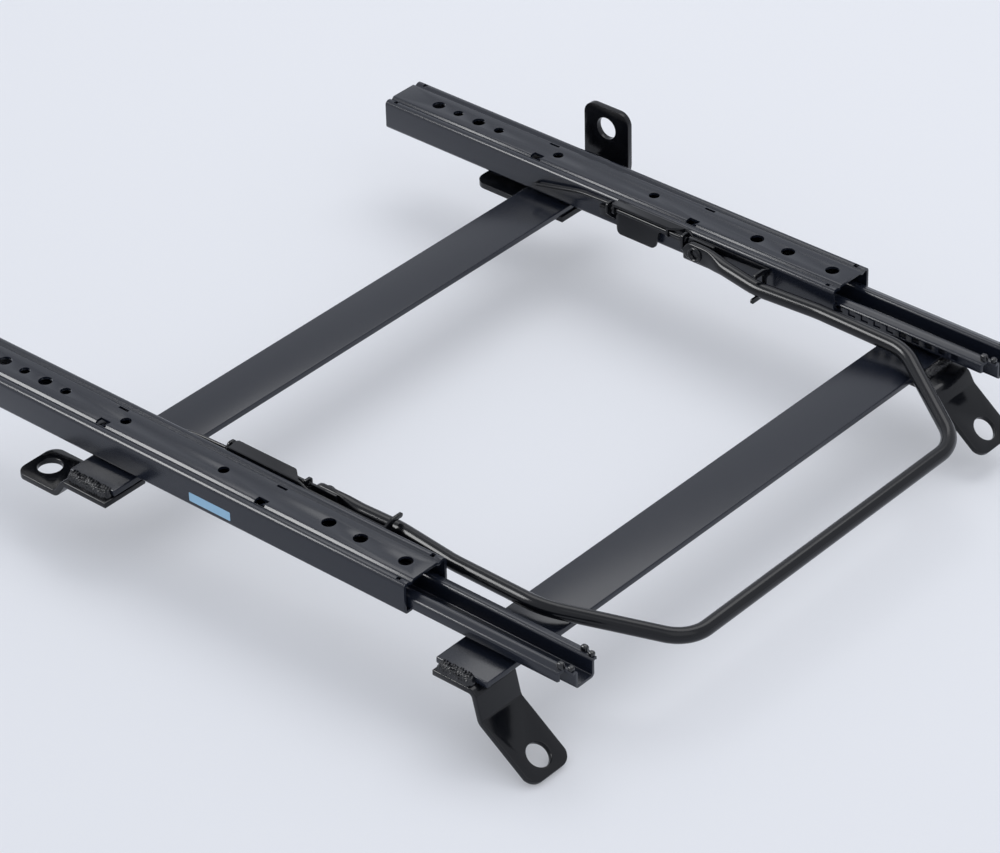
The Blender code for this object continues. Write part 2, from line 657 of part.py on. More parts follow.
def weld_beads(kit):
    out = TOUCH + WELD_RADIUS
    z = BASE_TOP + out
    rear = (REAR_BAR[0] + WELD_MARGIN, REAR_BAR[1] - WELD_MARGIN)
    spec = STRIP_BRACKETS["bracket_front_right"]
    start, bend = tab_plan(spec)[:2]
    front = (start[0] + WELD_MARGIN, bend[0] - BEND_OUTER)
    right_y = BAR_RIGHT_END - out
    left_y = BAR_LEFT_END + out
    weld_bead("weld_rear_right", (rear[0], right_y, z), (rear[1], right_y, z), kit)
    weld_bead("weld_front_right", (front[0], right_y, z), (front[1], right_y, z), kit)
    weld_bead("weld_rear_left", (rear[0], left_y, z), (rear[1], left_y, z), kit)
    low, high = STRIP_BRACKETS["bracket_front_left"]["y"]
    x = FRONT_BAR[1] + out
    weld_bead("weld_front_left", (x, low + WELD_MARGIN, z), (x, high - WELD_MARGIN, z), kit)


def ball_cage(side, place, kit):
    """A flat strip in the ball track, with the balls that it carries."""
    way = SIDES[side] * (-1.0 if place == "inner" else 1.0)
    centre = SIDES[side] * RAIL_Y
    name = "ball_cage_" + side + "_" + place
    near = centre + way * CAGE_INNER
    far = centre + way * CAGE_OUTER
    strip = ((CAGE_START, near, BALL_Z - CAGE_THICK / 2),
             (CAGE_END, far, BALL_Z + CAGE_THICK / 2))
    cage = boxes(name, kit, [strip], "steel")
    shape = bmesh.new()
    for index in range(BALLS_PER_GROUP):
        inset = BALL_FROM_END + index * BALL_PITCH
        for x in (CAGE_START + inset, CAGE_END - inset):
            middle = Matrix.Translation((x, centre + way * BALL_Y, BALL_Z))
            bmesh.ops.create_uvsphere(shape, u_segments=10, v_segments=6, radius=BALL_RADIUS,
                                      matrix=middle)
    mesh = bpy.data.meshes.new(name + "_balls")
    shape.to_mesh(mesh)
    shape.free()
    combine(cage, add_object(name + "_balls", mesh, kit), "UNION")
    set_pivot(cage, (CAGE_START, centre, BALL_Z))
    smooth(cage)
    return cage


def roller_places():
    return (CAGE_START + ROLLER_FROM_END, CAGE_END - ROLLER_FROM_END)


def roller_retainer(side, kit):
    """A narrow frame in the channel with a fixed pin for each roller."""
    centre = SIDES[side] * RAIL_Y
    name = "roller_retainer_" + side
    rear = CAGE_START + RETAINER_INSET
    front = CAGE_END - RETAINER_INSET
    low = ROLLER_Z - RETAINER_HEIGHT / 2
    high = ROLLER_Z + RETAINER_HEIGHT / 2
    inside = RETAINER_HALF - RETAINER_PLATE
    frame = boxes(name, kit, [((rear, centre - RETAINER_HALF, low),
                               (front, centre + RETAINER_HALF, high))], "steel")
    hollow = boxes(name + "_hollow", kit,
                   [((rear + RETAINER_PLATE, centre - inside, low - RETAINER_PLATE),
                     (front - RETAINER_PLATE, centre + inside, high + RETAINER_PLATE))])
    combine(frame, hollow, "DIFFERENCE")
    pins = [((x, centre, ROLLER_Z), (0, 1, 0), ROLLER_PIN_RADIUS,
             2 * RETAINER_HALF - RETAINER_PLATE) for x in roller_places()]
    combine(frame, cylinders(name + "_pins", kit, pins, None, 16), "UNION")
    set_pivot(frame, (rear, centre, ROLLER_Z))
    return frame


def roller(side, index, kit):
    """A steel roller that carries the panel on the channel's floor."""
    centre = SIDES[side] * RAIL_Y
    name = "roller_" + side + ("_rear", "_front")[index]
    middle = (roller_places()[index], centre, ROLLER_Z)
    width = 2 * (RETAINER_HALF - RETAINER_PLATE - RETAINER_SIDE_GAP)
    wheel = cylinders(name, kit, [(middle, (0, 1, 0), ROLLER_RADIUS, width)], "steel", 22)
    edge = wheel.modifiers.new("Edge", "BEVEL")
    edge.width = ROLLER_BEVEL
    edge.segments = 1
    edge.limit_method = "ANGLE"
    bore = cylinders(name + "_bore", kit,
                     [(middle, (0, 1, 0), ROLLER_PIN_RADIUS + RUNNING, 2 * width)], None, 16)
    combine(wheel, bore, "DIFFERENCE")
    set_pivot(wheel, middle)
    smooth(wheel)
    return wheel


def web_outline():
    """The lever's side view: folded top, lower lobe with the teeth, and forward arm."""
    points = [(LEVER_REAR, LEVER_TOP), (LEVER_REAR, LEVER_WEB_BOTTOM - SHEET),
              (LOBE_X[0], LOBE_BOTTOM), (LOBE_X[1], LOBE_BOTTOM),
              (LOBE_X[1] + SHEET, LEVER_WEB_BOTTOM),
              (LEVER_FOLD_FRONT - 2 * SHEET, LEVER_WEB_BOTTOM), (LEVER_FOLD_FRONT, ARM_BOTTOM),
              (FORK_X + LEVER_SHEET / 2, ARM_BOTTOM), (FORK_X + LEVER_SHEET / 2, ARM_TOP),
              (LEVER_FOLD_FRONT + 3 * SHEET, ARM_TOP),
              (LEVER_FOLD_FRONT, LEVER_TOP)]
    radii = [0, LEVER_CORNER, LOBE_CORNER, LOBE_CORNER, LEVER_CORNER, LEVER_CORNER,
             LEVER_CORNER, 0, 0, LEVER_CORNER, FOLD_CORNER]
    return rounded(points, radii)


def latched(point):
    """A place (y, z) on the lever at rest, turned to the latched lever."""
    y = point[0] - LEVER_AXIS_Y
    z = point[1] - LEVER_AXIS_Z
    back = math.cos(LATCH_DRAWN)
    down = math.sin(LATCH_DRAWN)
    return (LEVER_AXIS_Y + y * back - z * down, LEVER_AXIS_Z + z * back + y * down)


def fork_outline():
    """The lever's fork seen from the front: one finger over the handle's tube, one under it."""
    tube_y, tube_z = HANDLE_AT_FORK
    tip = tube_y - FORK_REACH
    inner = tube_y + TUBE_RADIUS + FORK_PLAY_SIDE
    outer = inner + FORK_BACK_WIDE
    over = tube_z + TUBE_RADIUS + FORK_PLAY_UP
    under = tube_z - TUBE_RADIUS - FORK_PLAY_DOWN
    at_rest = [(inner, over + FINGER_TALL), (tip, over + FINGER_TALL), (tip, over),
               (inner, over), (inner, under), (tip, under), (tip, under - FINGER_TALL),
               (outer, under - FINGER_TALL), (outer, FORK_BACK_TOP)]
    root = (LEVER_INNER + LEVER_OUTER) / 2
    points = [latched(point) for point in at_rest]
    points += [(root, ARM_BOTTOM + JOIN_STEP), (root, ARM_TOP - JOIN_STEP)]
    radii = [LEVER_CORNER, FINGER_CORNER, FINGER_CORNER, LEVER_CORNER, LEVER_CORNER,
             FINGER_CORNER, FINGER_CORNER, LEVER_CORNER, LEVER_CORNER, 0, 0]
    return rounded(points, radii)


def lock_lever(side, kit):
    """The latch lever: one stamping with its teeth, its two ears and its fork."""
    sign = SIDES[side]
    name = "lock_lever_" + side
    middle = sign * (LEVER_INNER + LEVER_OUTER) / 2
    lever = prism(name, kit, web_outline(), LEVER_SHEET, SIDE, middle, "black")
    half = LEVER_SHEET / 2
    rear = LEVER_REAR + JOIN_STEP
    front = LEVER_FOLD_FRONT - JOIN_STEP
    edge = sign * LEVER_FOLD_EDGE
    fold = [(rear, middle), (rear, edge), (front - FOLD_TAPER, edge), (front, middle)]
    corners = [0, LEVER_CORNER, LOBE_CORNER, 0]
    combine(lever, prism(name + "_fold", kit, rounded(fold, corners),
                         LEVER_SHEET, PLAN, LEVER_TOP - half - JOIN_STEP), "UNION")
    low = LEVER_TOP - LEVER_EAR_DROP
    edge = sign * (LEVER_FOLD_EDGE + JOIN_STEP)
    ear = [(middle, LEVER_TOP - half), (middle, low), (edge, low), (edge, LEVER_TOP - half)]
    hole = circle(sign * LEVER_AXIS_Y, LEVER_AXIS_Z, PIN_RADIUS + RUNNING, 16)
    for x in (rear + EAR_INSET, front - FOLD_TAPER - EAR_INSET):
        combine(lever, prism(name + "_ear", kit, rounded(ear, [0, 0, LEVER_CORNER, 0]),
                             LEVER_SHEET, FRONT, x, None, [hole]), "UNION")
    teeth = []
    for index in range(TOOTH_COUNT):
        x = TOOTH_FIRST + index * NOTCH_PITCH
        teeth.append(((x - TOOTH_WIDTH / 2, middle, TOOTH_TOP - LEVER_SHEET),
                      (x + TOOTH_WIDTH / 2, sign * (FLANGE_FACE + TOOTH_REACH), TOOTH_TOP)))
    combine(lever, boxes(name + "_teeth", kit, teeth), "UNION")
    fork = [(sign * u, v) for u, v in fork_outline()]
    combine(lever, prism(name + "_fork", kit, fork, LEVER_SHEET, FRONT, FORK_X + half),
            "UNION")
    turn_about(lever, (0, sign * LEVER_AXIS_Y, LEVER_AXIS_Z), -sign * LATCH_DRAWN)
    set_pivot(lever, (LEVER_REAR, sign * LEVER_AXIS_Y, LEVER_AXIS_Z))
    return lever


def lever_pin(side, kit):
    sign = SIDES[side]
    rear = LEVER_REAR - EAR_GAP - EAR_SHEET - PIN_STAND_OUT
    front = BRACKET_X[0] + EAR_SHEET + PIN_STAND_OUT
    middle = ((rear + front) / 2, sign * LEVER_AXIS_Y, LEVER_AXIS_Z)
    pin = cylinders("lever_pin_" + side, kit,
                    [(middle, (1, 0, 0), PIN_RADIUS, front - rear)], "black", 16)
    set_pivot(pin, middle)
    smooth(pin)
    return pin


def lever_bracket(side, kit):
    """The stamped ear, fixed to the rail, that holds the rear end of the lever's pin."""
    sign = SIDES[side]
    name = "lever_bracket_" + side
    front = LEVER_REAR - EAR_GAP
    against = sign * (RAIL_SIDE - TOUCH)
    low, high = REAR_EAR_Z
    ear = [(against, low), (against, high - 3 * SHEET), (against - sign * 2 * SHEET, high),
           (sign * EAR_EDGE, high), (sign * EAR_EDGE, LEVER_AXIS_Z - EAR_UNDER_PIN)]
    hole = circle(sign * LEVER_AXIS_Y, LEVER_AXIS_Z, PIN_RADIUS + RUNNING, 16)
    corners = [0, FOLD_CORNER, LEVER_CORNER, LEVER_CORNER, LEVER_CORNER]
    bracket = prism(name, kit, rounded(ear, corners), EAR_SHEET, FRONT, front - EAR_SHEET / 2,
                    "black", [hole])
    foot = boxes(name + "_foot", kit,
                 [((front - REAR_EAR_FOOT, against - sign * EAR_SHEET, low),
                   (front - EAR_SHEET / 2, against, low + REAR_FOOT_TALL))])
    combine(bracket, foot, "UNION")
    set_pivot(bracket, (front, against, low))
    return bracket


def pivot_bracket(side, kit):
    """The bent bracket on the rail's side that carries the handle's pivot stud."""
    sign = SIDES[side]
    name = "pivot_bracket_" + side
    against = RAIL_SIDE - TOUCH
    corners = [(sign * BRACKET_WALL_Y, BRACKET_TOP), (sign * BRACKET_WALL_Y, BRACKET_BOTTOM),
               (sign * against, BRACKET_BOTTOM), (sign * against, BRACKET_FOOT_TOP)]
    path = fillet(corners, [BRACKET_CORNER, BRACKET_CORNER])
    bracket = sheet(name, kit, path, BRACKET_X, FRONT, BRACKET_SHEET,
                    (sign * RAIL_SIDE, BRACKET_TOP), "black")
    notch = boxes(name + "_notch", kit,
                  [((BRACKET_X[0] - EAR_SHEET, sign * (BRACKET_WALL_Y - SHEET),
                     EAR_SHOULDER),
                    (BRACKET_X[0] + EAR_SHEET + PIN_NOTCH,
                     sign * (BRACKET_WALL_Y + BRACKET_SHEET + SHEET / 2), BRACKET_TOP + SHEET))])
    combine(bracket, notch, "DIFFERENCE")
    top = REAR_EAR_Z[1]
    ear = [(sign * EAR_EDGE, top), (sign * EAR_EDGE, EAR_SHOULDER - SHEET),
           (sign * (BRACKET_WALL_Y + BRACKET_SHEET / 2), EAR_SHOULDER - 3 * SHEET),
           (sign * EAR_OUTER, EAR_SHOULDER - 3 * SHEET), (sign * EAR_OUTER, top)]
    rims = [LEVER_CORNER, FOLD_CORNER, 0, 0, FOLD_CORNER]
    front_ear = prism(name + "_ear", kit, rounded(ear, rims), EAR_SHEET, FRONT,
                      BRACKET_X[0] + EAR_SHEET / 2)
    combine(bracket, front_ear, "UNION")
    pin_hole = ((BRACKET_X[0], sign * LEVER_AXIS_Y, LEVER_AXIS_Z), (1, 0, 0),
                PIN_RADIUS + RUNNING, 4 * EAR_SHEET)
    combine(bracket, cylinders(name + "_pin_hole", kit, [pin_hole], None, 16), "DIFFERENCE")
    stud_hole = ((HANDLE_PIVOT[0], sign * (BRACKET_WALL_Y + BRACKET_SHEET / 2),
                  HANDLE_PIVOT[1]), (0, 1, 0), STUD_RADIUS + TOUCH, 2 * BRACKET_SHEET)
    combine(bracket, cylinders(name + "_stud_hole", kit, [stud_hole]), "DIFFERENCE")
    set_pivot(bracket, (BRACKET_X[0], sign * against, BRACKET_BOTTOM))
    return bracket


def pivot_stud(side, kit):
    """The shouldered stud that the handle's flattened end turns on."""
    sign = SIDES[side]
    name = "pivot_stud_" + side
    head = HANDLE_END_Y - FLAT_HALF_THICK - RUNNING
    end = BRACKET_WALL_Y + BRACKET_SHEET + TOUCH
    x, z = HANDLE_PIVOT
    shank = ((x, sign * (head + end - STUD_HEAD_THICK / 2) / 2, z), (0, 1, 0), STUD_RADIUS,
             end - head + STUD_HEAD_THICK / 2)
    stud = cylinders(name, kit, [shank], "black")
    cap = ((x, sign * (head - STUD_HEAD_THICK / 2), z), (0, 1, 0), STUD_HEAD_RADIUS,
           STUD_HEAD_THICK)
    combine(stud, cylinders(name + "_head", kit, [cap]), "UNION")
    set_pivot(stud, (x, sign * HANDLE_END_Y, z))
    smooth(stud)
    return stud


def return_spring(side, kit):
    """The spring wire from a hole in the rail's side up to the latch."""
    sign = SIDES[side]
    end_x = LEVER_REAR - EAR_GAP - EAR_SHEET - 2 * TOUCH
    seat = sign * (RAIL_SIDE - TOUCH)
    path = [(SPRING_REAR, seat, SPRING_LOW)]
    places = [(SPRING_REAR, SPRING_LOW), (SPRING_RISE, SPRING_HIGH - SHEET / 2),
              (end_x, SPRING_HIGH)]
    line = fillet([(x, sign * WIRE_Y, z) for x, z in places], [SOFT_BEND])
    path += fillet([(SPRING_REAR, seat, SPRING_LOW), line[0], line[1]], [2 * WIRE_RADIUS])[1:-1]
    path += line[1:]
    spring = tube("return_spring_" + side, path, WIRE_RADIUS, kit, "black")
    set_pivot(spring, (SPRING_REAR, sign * WIRE_Y, SPRING_LOW))
    return spring


def handle_half():
    """The right half of the handle's centre line, from its pivot end to the middle."""
    points = [(HANDLE_END, -HANDLE_END_Y, HANDLE_PIVOT[1]),
              (FLAT_FULL_UNTIL, -HANDLE_END_Y, HANDLE_PIVOT[1]),
              (FORK_X + LEVER_SHEET / 2, -HANDLE_AT_FORK[0], HANDLE_AT_FORK[1]),
              (HANDLE_AT_MOUTH[0], -HANDLE_AT_MOUTH[1], HANDLE_AT_MOUTH[2]),
              (HANDLE_SHOULDER[0], -HANDLE_SHOULDER[1], HANDLE_SHOULDER[2]),
              (HANDLE_CORNER[0], -HANDLE_CORNER[1], HANDLE_CORNER[2]),
              (HANDLE_CORNER[0], 0.0, HANDLE_CORNER[2])]
    radii = [SOFT_BEND, SOFT_BEND, SOFT_BEND, SHOULDER_BEND, CORNER_BEND]
    return fillet(points, radii, math.radians(11.25))


def centre_at(path, x):
    """The point of a path that runs forward, at a distance x along the rail."""
    for first, second in zip(path, path[1:]):
        if first.x <= x <= second.x:
            return first.lerp(second, (x - first.x) / (second.x - first.x))
    return path[0]


def flatten_ends(mesh, half):
    """Presses both ends of the tube flat and rounds them off, about its centre line."""
    for vertex in mesh.vertices:
        place = vertex.co
        if place.x > FLAT_NONE_FROM:
            continue
        centre = centre_at(half, max(place.x, HANDLE_END))
        centre_y = math.copysign(centre.y, place.y)
        share = (FLAT_NONE_FROM - place.x) / (FLAT_NONE_FROM - FLAT_FULL_UNTIL)
        share = min(1.0, max(0.0, share))
        share = share * share * (3 - 2 * share)
        back = max(0.0, HANDLE_END + FLAT_HALF_TALL - place.x) / FLAT_HALF_TALL
        nose = math.sqrt(max(NOSE_SHARE ** 2, 1 - back * back))
        thin = 1 + share * (FLAT_HALF_THICK / TUBE_RADIUS - 1)
        tall = 1 + share * (FLAT_HALF_TALL / TUBE_RADIUS - 1)
        place.y = centre_y + (place.y - centre_y) * thin
        place.z = centre.z + (place.z - centre.z) * tall * nose


def release_handle(kit):
    """The towel-bar handle: one tube with four bends and two flattened ends."""
    half = handle_half()
    pressed = [HANDLE_END + FLAT_HALF_TALL * (1 - math.cos(math.radians(angle)))
               for angle in (0, 30, 50, 70, 90)]
    steps = 6
    pressed += [FLAT_FULL_UNTIL + (FLAT_NONE_FROM - FLAT_FULL_UNTIL) * index / steps
                for index in range(steps + 1)]
    start = [centre_at(half, x) for x in pressed]
    right = start + [point for point in half if point.x > FLAT_NONE_FROM + TUBE_RADIUS][:-1]
    left = [Vector((point.x, -point.y, point.z)) for point in reversed(right)]
    handle = tube("release_handle", right + left, TUBE_RADIUS, kit, "black", 3)
    flatten_ends(handle.data, half)
    x, z = HANDLE_PIVOT
    holes = [((x, sign * HANDLE_END_Y, z), (0, 1, 0), STUD_RADIUS + RUNNING,
              4 * TUBE_RADIUS) for sign in SIDES.values()]
    combine(handle, cylinders("handle_holes", kit, holes), "DIFFERENCE")
    set_pivot(handle, (x, 0, z))
    return handle


def frame_offset():
    """Where the rail frame's origin lies, seen from the middle under the whole part."""
    front = HANDLE_CORNER[0] + TUBE_RADIUS
    right = min(spec["y"][0] for spec in STRIP_BRACKETS.values())
    left = UPRIGHT_FACE + PLATE
    low = min(lowest_point(spec) for spec in STRIP_BRACKETS.values())
    return (-front / 2, -(left + right) / 2, -low)


def main():
    clear_scene()
    kit = {
        "parts": new_collection("seat_rail"),
        "cutters": new_collection("cutters"),
        "charcoal": new_material("charcoal_paint", (0.06, 0.065, 0.08), 0.0, 0.45),
        "black": new_material("black_paint", (0.02, 0.02, 0.025), 0.0, 0.35),
        "steel": new_material("bare_steel", (0.45, 0.45, 0.47), 1.0, 0.35),
    }
    kit["frame"] = bpy.data.objects.new("rail_frame", None)
    kit["frame"].location = frame_offset()
    kit["parts"].objects.link(kit["frame"])
    crossbar("crossbar_rear", REAR_BAR, kit)
    crossbar("crossbar_front", FRONT_BAR, kit)
    for name in STRIP_BRACKETS:
        strip_bracket(name, kit)
    upright_bracket("bracket_rear_left", kit)
    weld_beads(kit)
    for side in SIDES:
        lower_rail(side, kit)
        upper_rail(side, kit)
        roller_retainer(side, kit)
        for index in range(2):
            roller(side, index, kit)
        for place in ("inner", "outer"):
            ball_cage(side, place, kit)
        lever_bracket(side, kit)
        pivot_bracket(side, kit)
        lever_pin(side, kit)
        pivot_stud(side, kit)
        lock_lever(side, kit)
        return_spring(side, kit)
    release_handle(kit)
    bpy.context.view_layer.update()


if __name__ == "__main__":
    main()
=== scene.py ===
"""The looks of the seat rail: fine pressed-steel surfaces, black paint, welds and the studio.

Sizes are in millimetres in the rail frame (X forward from the upper rail's rear end, Y from
the centre line between the rails, Z up from the panel's top) and become metres in the CAD's
frame when a mesh is made.
"""
import math

import bmesh
import bpy
import numpy as np
from mathutils import Matrix, Vector


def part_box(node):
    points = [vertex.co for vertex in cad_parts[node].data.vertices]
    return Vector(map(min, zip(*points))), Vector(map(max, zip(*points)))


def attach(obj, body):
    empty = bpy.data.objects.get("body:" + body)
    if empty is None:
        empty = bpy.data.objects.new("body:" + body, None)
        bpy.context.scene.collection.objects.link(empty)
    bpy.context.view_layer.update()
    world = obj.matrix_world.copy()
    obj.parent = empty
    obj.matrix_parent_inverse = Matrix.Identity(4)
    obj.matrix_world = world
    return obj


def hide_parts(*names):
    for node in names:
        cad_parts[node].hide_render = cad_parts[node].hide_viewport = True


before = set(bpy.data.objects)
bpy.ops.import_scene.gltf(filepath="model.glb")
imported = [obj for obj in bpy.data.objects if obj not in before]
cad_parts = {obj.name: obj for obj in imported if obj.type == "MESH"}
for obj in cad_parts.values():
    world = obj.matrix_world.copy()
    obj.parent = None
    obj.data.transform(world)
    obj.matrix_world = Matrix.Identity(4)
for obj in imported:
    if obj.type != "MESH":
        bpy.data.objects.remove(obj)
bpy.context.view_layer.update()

bl_info = {
    "name": "Seat Rail",
    "version": (1, 0, 0),
    "blender": (4, 5, 0),
    "location": "View3D > Sidebar > Seat Rail",
    "description": "Builds the painted rails, brackets, handle and latches of a seat rail",
    "category": "Object",
}

MM = 0.001
SIDES = {"right": -1.0, "left": 1.0}

# The rail frame's origin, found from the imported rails
RIGHT_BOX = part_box("upper_rail_right")
LEFT_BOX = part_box("upper_rail_left")
ORIGIN = np.array([RIGHT_BOX[0][0],
                   (RIGHT_BOX[0][1] + RIGHT_BOX[1][1] + LEFT_BOX[0][1] + LEFT_BOX[1][1]) / 4,
                   RIGHT_BOX[1][2]])
UPPER_LENGTH = (RIGHT_BOX[1][0] - RIGHT_BOX[0][0]) / MM
RAIL_Y = (LEFT_BOX[0][1] + LEFT_BOX[1][1] - RIGHT_BOX[0][1] - RIGHT_BOX[1][1]) / 4 / MM


def node_span(node, axis):
    """The lowest and highest place of a CAD node along one axis, in the rail frame."""
    low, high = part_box(node)
    return ((low[axis] - ORIGIN[axis]) / MM, (high[axis] - ORIGIN[axis]) / MM)


LOWER_START, LOWER_END = node_span("lower_rail_right", 0)
REAR_BAR = node_span("crossbar_rear", 0)
FRONT_BAR = node_span("crossbar_front", 0)
BAR_Y = node_span("crossbar_rear", 1)
BAR_Z = node_span("crossbar_rear", 2)


class SEATRAIL_PG_sizes(bpy.types.PropertyGroup):
    """Sizes of the pressed sheet and of the finish that a user may change"""
    edge_round: bpy.props.FloatProperty(
        name="Edge rounding", description="Rounding of every sheared sheet edge",
        default=0.32 * MM, min=0.0, unit="LENGTH")
    plate_round: bpy.props.FloatProperty(
        name="Plate rounding", description="Rounding of the brackets' thicker edges",
        default=0.7 * MM, min=0.0, unit="LENGTH")
    wire_radius: bpy.props.FloatProperty(
        name="Wire radius", description="Radius of the return springs' wire",
        default=1.1 * MM, min=0.0, unit="LENGTH")
    weld_ripple: bpy.props.FloatProperty(
        name="Weld ripple", description="Height of the ripples on the weld beads",
        default=0.32 * MM, min=0.0, unit="LENGTH")


class SEATRAIL_PG_colours(bpy.types.PropertyGroup):
    """Colours of the paint, the bare steel and the plain label"""
    paint: bpy.props.FloatVectorProperty(
        name="Rail paint", description="Satin charcoal coat of the rails and bars",
        subtype="COLOR", size=3, default=(0.008, 0.0105, 0.018), min=0.0, max=1.0)
    gloss: bpy.props.FloatVectorProperty(
        name="Bracket paint", description="Glossier black coat of the brackets and levers",
        subtype="COLOR", size=3, default=(0.0035, 0.004, 0.0055), min=0.0, max=1.0)
    steel: bpy.props.FloatVectorProperty(
        name="Bare steel", description="Oiled steel of the balls and rollers",
        subtype="COLOR", size=3, default=(0.42, 0.42, 0.44), min=0.0, max=1.0)
    label: bpy.props.FloatVectorProperty(
        name="Label", description="Plain pale blue strip on the right rail",
        subtype="COLOR", size=3, default=(0.30, 0.52, 0.70), min=0.0, max=1.0)
    floor: bpy.props.FloatVectorProperty(
        name="Floor", description="Pale studio floor",
        subtype="COLOR", size=3, default=(0.80, 0.815, 0.85), min=0.0, max=1.0)


def sizes():
    return bpy.context.scene.seat_rail_sizes


def colours():
    return bpy.context.scene.seat_rail_colours


# Shapes

PLAN = np.eye(3)
SIDE = np.array([[1.0, 0, 0], [0, 0, 1], [0, 1, 0]])
FRONT = np.array([[0.0, 0, 1], [1, 0, 0], [0, 1, 0]])


def rail_to_world(points):
    """Points of the rail frame, in millimetres, as metres in the CAD's frame."""
    return np.asarray(points, float) * MM + ORIGIN


def round_path(points, radii, step=10.0):
    """A path of straight legs whose corners are arcs: each arc point is the arc's centre plus
    a slerp between its first and last spokes."""
    points = [np.array(point, float) for point in points]
    path = [points[0][None, :]]
    for before, corner, after, radius in zip(points, points[1:], points[2:], radii):
        back = (before - corner) / np.linalg.norm(before - corner)
        ahead = (after - corner) / np.linalg.norm(after - corner)
        turn = math.pi - math.acos(np.clip(back @ ahead, -1, 1))
        if radius <= 0 or turn < 1e-4:
            path.append(corner[None, :])
            continue
        reach = radius * math.tan(turn / 2)
        spine = (back + ahead) / np.linalg.norm(back + ahead)
        middle = corner + spine * radius / math.cos(turn / 2)
        first = corner + back * reach - middle
        last = corner + ahead * reach - middle
        count = max(2, math.ceil(math.degrees(turn) / step))
        share = np.linspace(0, 1, count + 1)[:, None]
        path.append(middle + (np.sin((1 - share) * turn) * first
                              + np.sin(share * turn) * last) / math.sin(turn))
    path.append(points[-1][None, :])
    return np.concatenate(path)


def round_loop(points, radii, step=12.0):
    """A closed outline with an arc at each corner."""
    return round_path([points[-1], *points, points[0]], radii, step)[1:-1]


def circle(u, v, radius, count=48):
    angle = np.linspace(0, math.tau, count, endpoint=False)
    return np.stack([u + radius * np.cos(angle), v + radius * np.sin(angle)], 1)


def shifted(path, distance):
    """The path moved sideways by a distance, to its left, with mitred corners."""
    leg = np.diff(path, axis=0)
    leg /= np.linalg.norm(leg, axis=1, keepdims=True)
    normal = np.stack([-leg[:, 1], leg[:, 0]], 1)
    joined = np.concatenate([normal[:1], normal[:-1] + normal[1:], normal[-1:]])
    joined /= np.linalg.norm(joined, axis=1, keepdims=True)
    ends = np.concatenate([normal[:1], normal])
    share = np.sum(joined * ends, 1, keepdims=True)
    return path + joined * distance / share


def new_piece(name, mesh):
    piece = bpy.data.objects.new(name, mesh)
    bpy.context.scene.collection.objects.link(piece)
    return piece


def mesh_of(name, points, faces):
    """A mesh from rail frame points and faces, with its faces turned outwards."""
    mesh = bpy.data.meshes.new(name)
    mesh.from_pydata(rail_to_world(points).tolist(), [], faces)
    shape = bmesh.new()
    shape.from_mesh(mesh)
    bmesh.ops.recalc_face_normals(shape, faces=shape.faces)
    shape.to_mesh(mesh)
    shape.free()
    return mesh


def capped(name, points):
    """A closed skin on a grid of rail frame points: each row is joined round, neighbouring
    rows are joined by quads, and the first and last rows are capped."""
    rows, columns = points.shape[:2]
    row, column = np.meshgrid(np.arange(rows - 1), np.arange(columns), indexing="ij")
    here = row * columns + column
    beside = row * columns + (column + 1) % columns
    faces = np.stack([here, beside, beside + columns, here + columns], -1).reshape(-1, 4)
    faces = faces.tolist()
    faces.append(list(range(columns)))
    faces.append(list(range((rows - 1) * columns, rows * columns)))
    return new_piece(name, mesh_of(name, points.reshape(-1, 3), faces))


def extruded(name, outline, span, plane, shift=(0.0, 0.0, 0.0)):
    """A closed outline (u, v) carried along w and capped at both ends of its span. The plane's
    columns are the directions of u, v and w."""
    outline = np.asarray(outline, float)
    rows = [np.column_stack([outline, np.full(len(outline), depth)]) for depth in span]
    return capped(name, np.stack(rows) @ plane.T + np.array(shift))


def bent_sheet(name, path, thick, span, plane):
    """A bent plate: the path and its copy shifted by the thickness, closed and carried on."""
    loop = np.concatenate([path, shifted(path, thick)[::-1]])
    return extruded(name, loop, span, plane)


def box_between(name, one, two):
    """A block between two opposite corners, given in any order."""
    low = np.minimum(one, two)
    high = np.maximum(one, two)
    outline = [(low[0], low[1]), (high[0], low[1]), (high[0], high[1]), (low[0], high[1])]
    return extruded(name, outline, (low[2], high[2]), PLAN)


def rod(name, middle, axis, radius, length, count=48):
    """A cylinder about an axis through its middle."""
    plane = {"x": FRONT, "y": SIDE, "z": PLAN}[axis]
    u, v, w = plane.T @ np.asarray(middle, float)
    return extruded(name, circle(u, v, radius, count), (w - length / 2, w + length / 2), plane)


def tube(name, path, across, up, sides=24, power=2.0):
    """A tube along a path. Each ring is a superellipse with its own half-widths across and
    up; its sideways direction is the path's direction crossed with Z."""
    path = np.asarray(path, float)
    ahead = np.gradient(path, axis=0)
    ahead /= np.linalg.norm(ahead, axis=1, keepdims=True)
    beside = np.cross(ahead, [0.0, 0.0, 1.0])
    beside /= np.linalg.norm(beside, axis=1, keepdims=True)
    above = np.cross(beside, ahead)
    angle = np.linspace(0, math.tau, sides, endpoint=False)
    power = np.broadcast_to(np.asarray(power, float), len(path))[:, None]
    cos = np.sign(np.cos(angle)) * np.abs(np.cos(angle)) ** (2 / power)
    sin = np.sign(np.sin(angle)) * np.abs(np.sin(angle)) ** (2 / power)
    across = np.broadcast_to(np.asarray(across, float), len(path))[:, None]
    up = np.broadcast_to(np.asarray(up, float), len(path))[:, None]
    rings = (path[:, None, :] + (across * cos)[..., None] * beside[:, None, :]
             + (up * sin)[..., None] * above[:, None, :])
    return capped(name, rings)


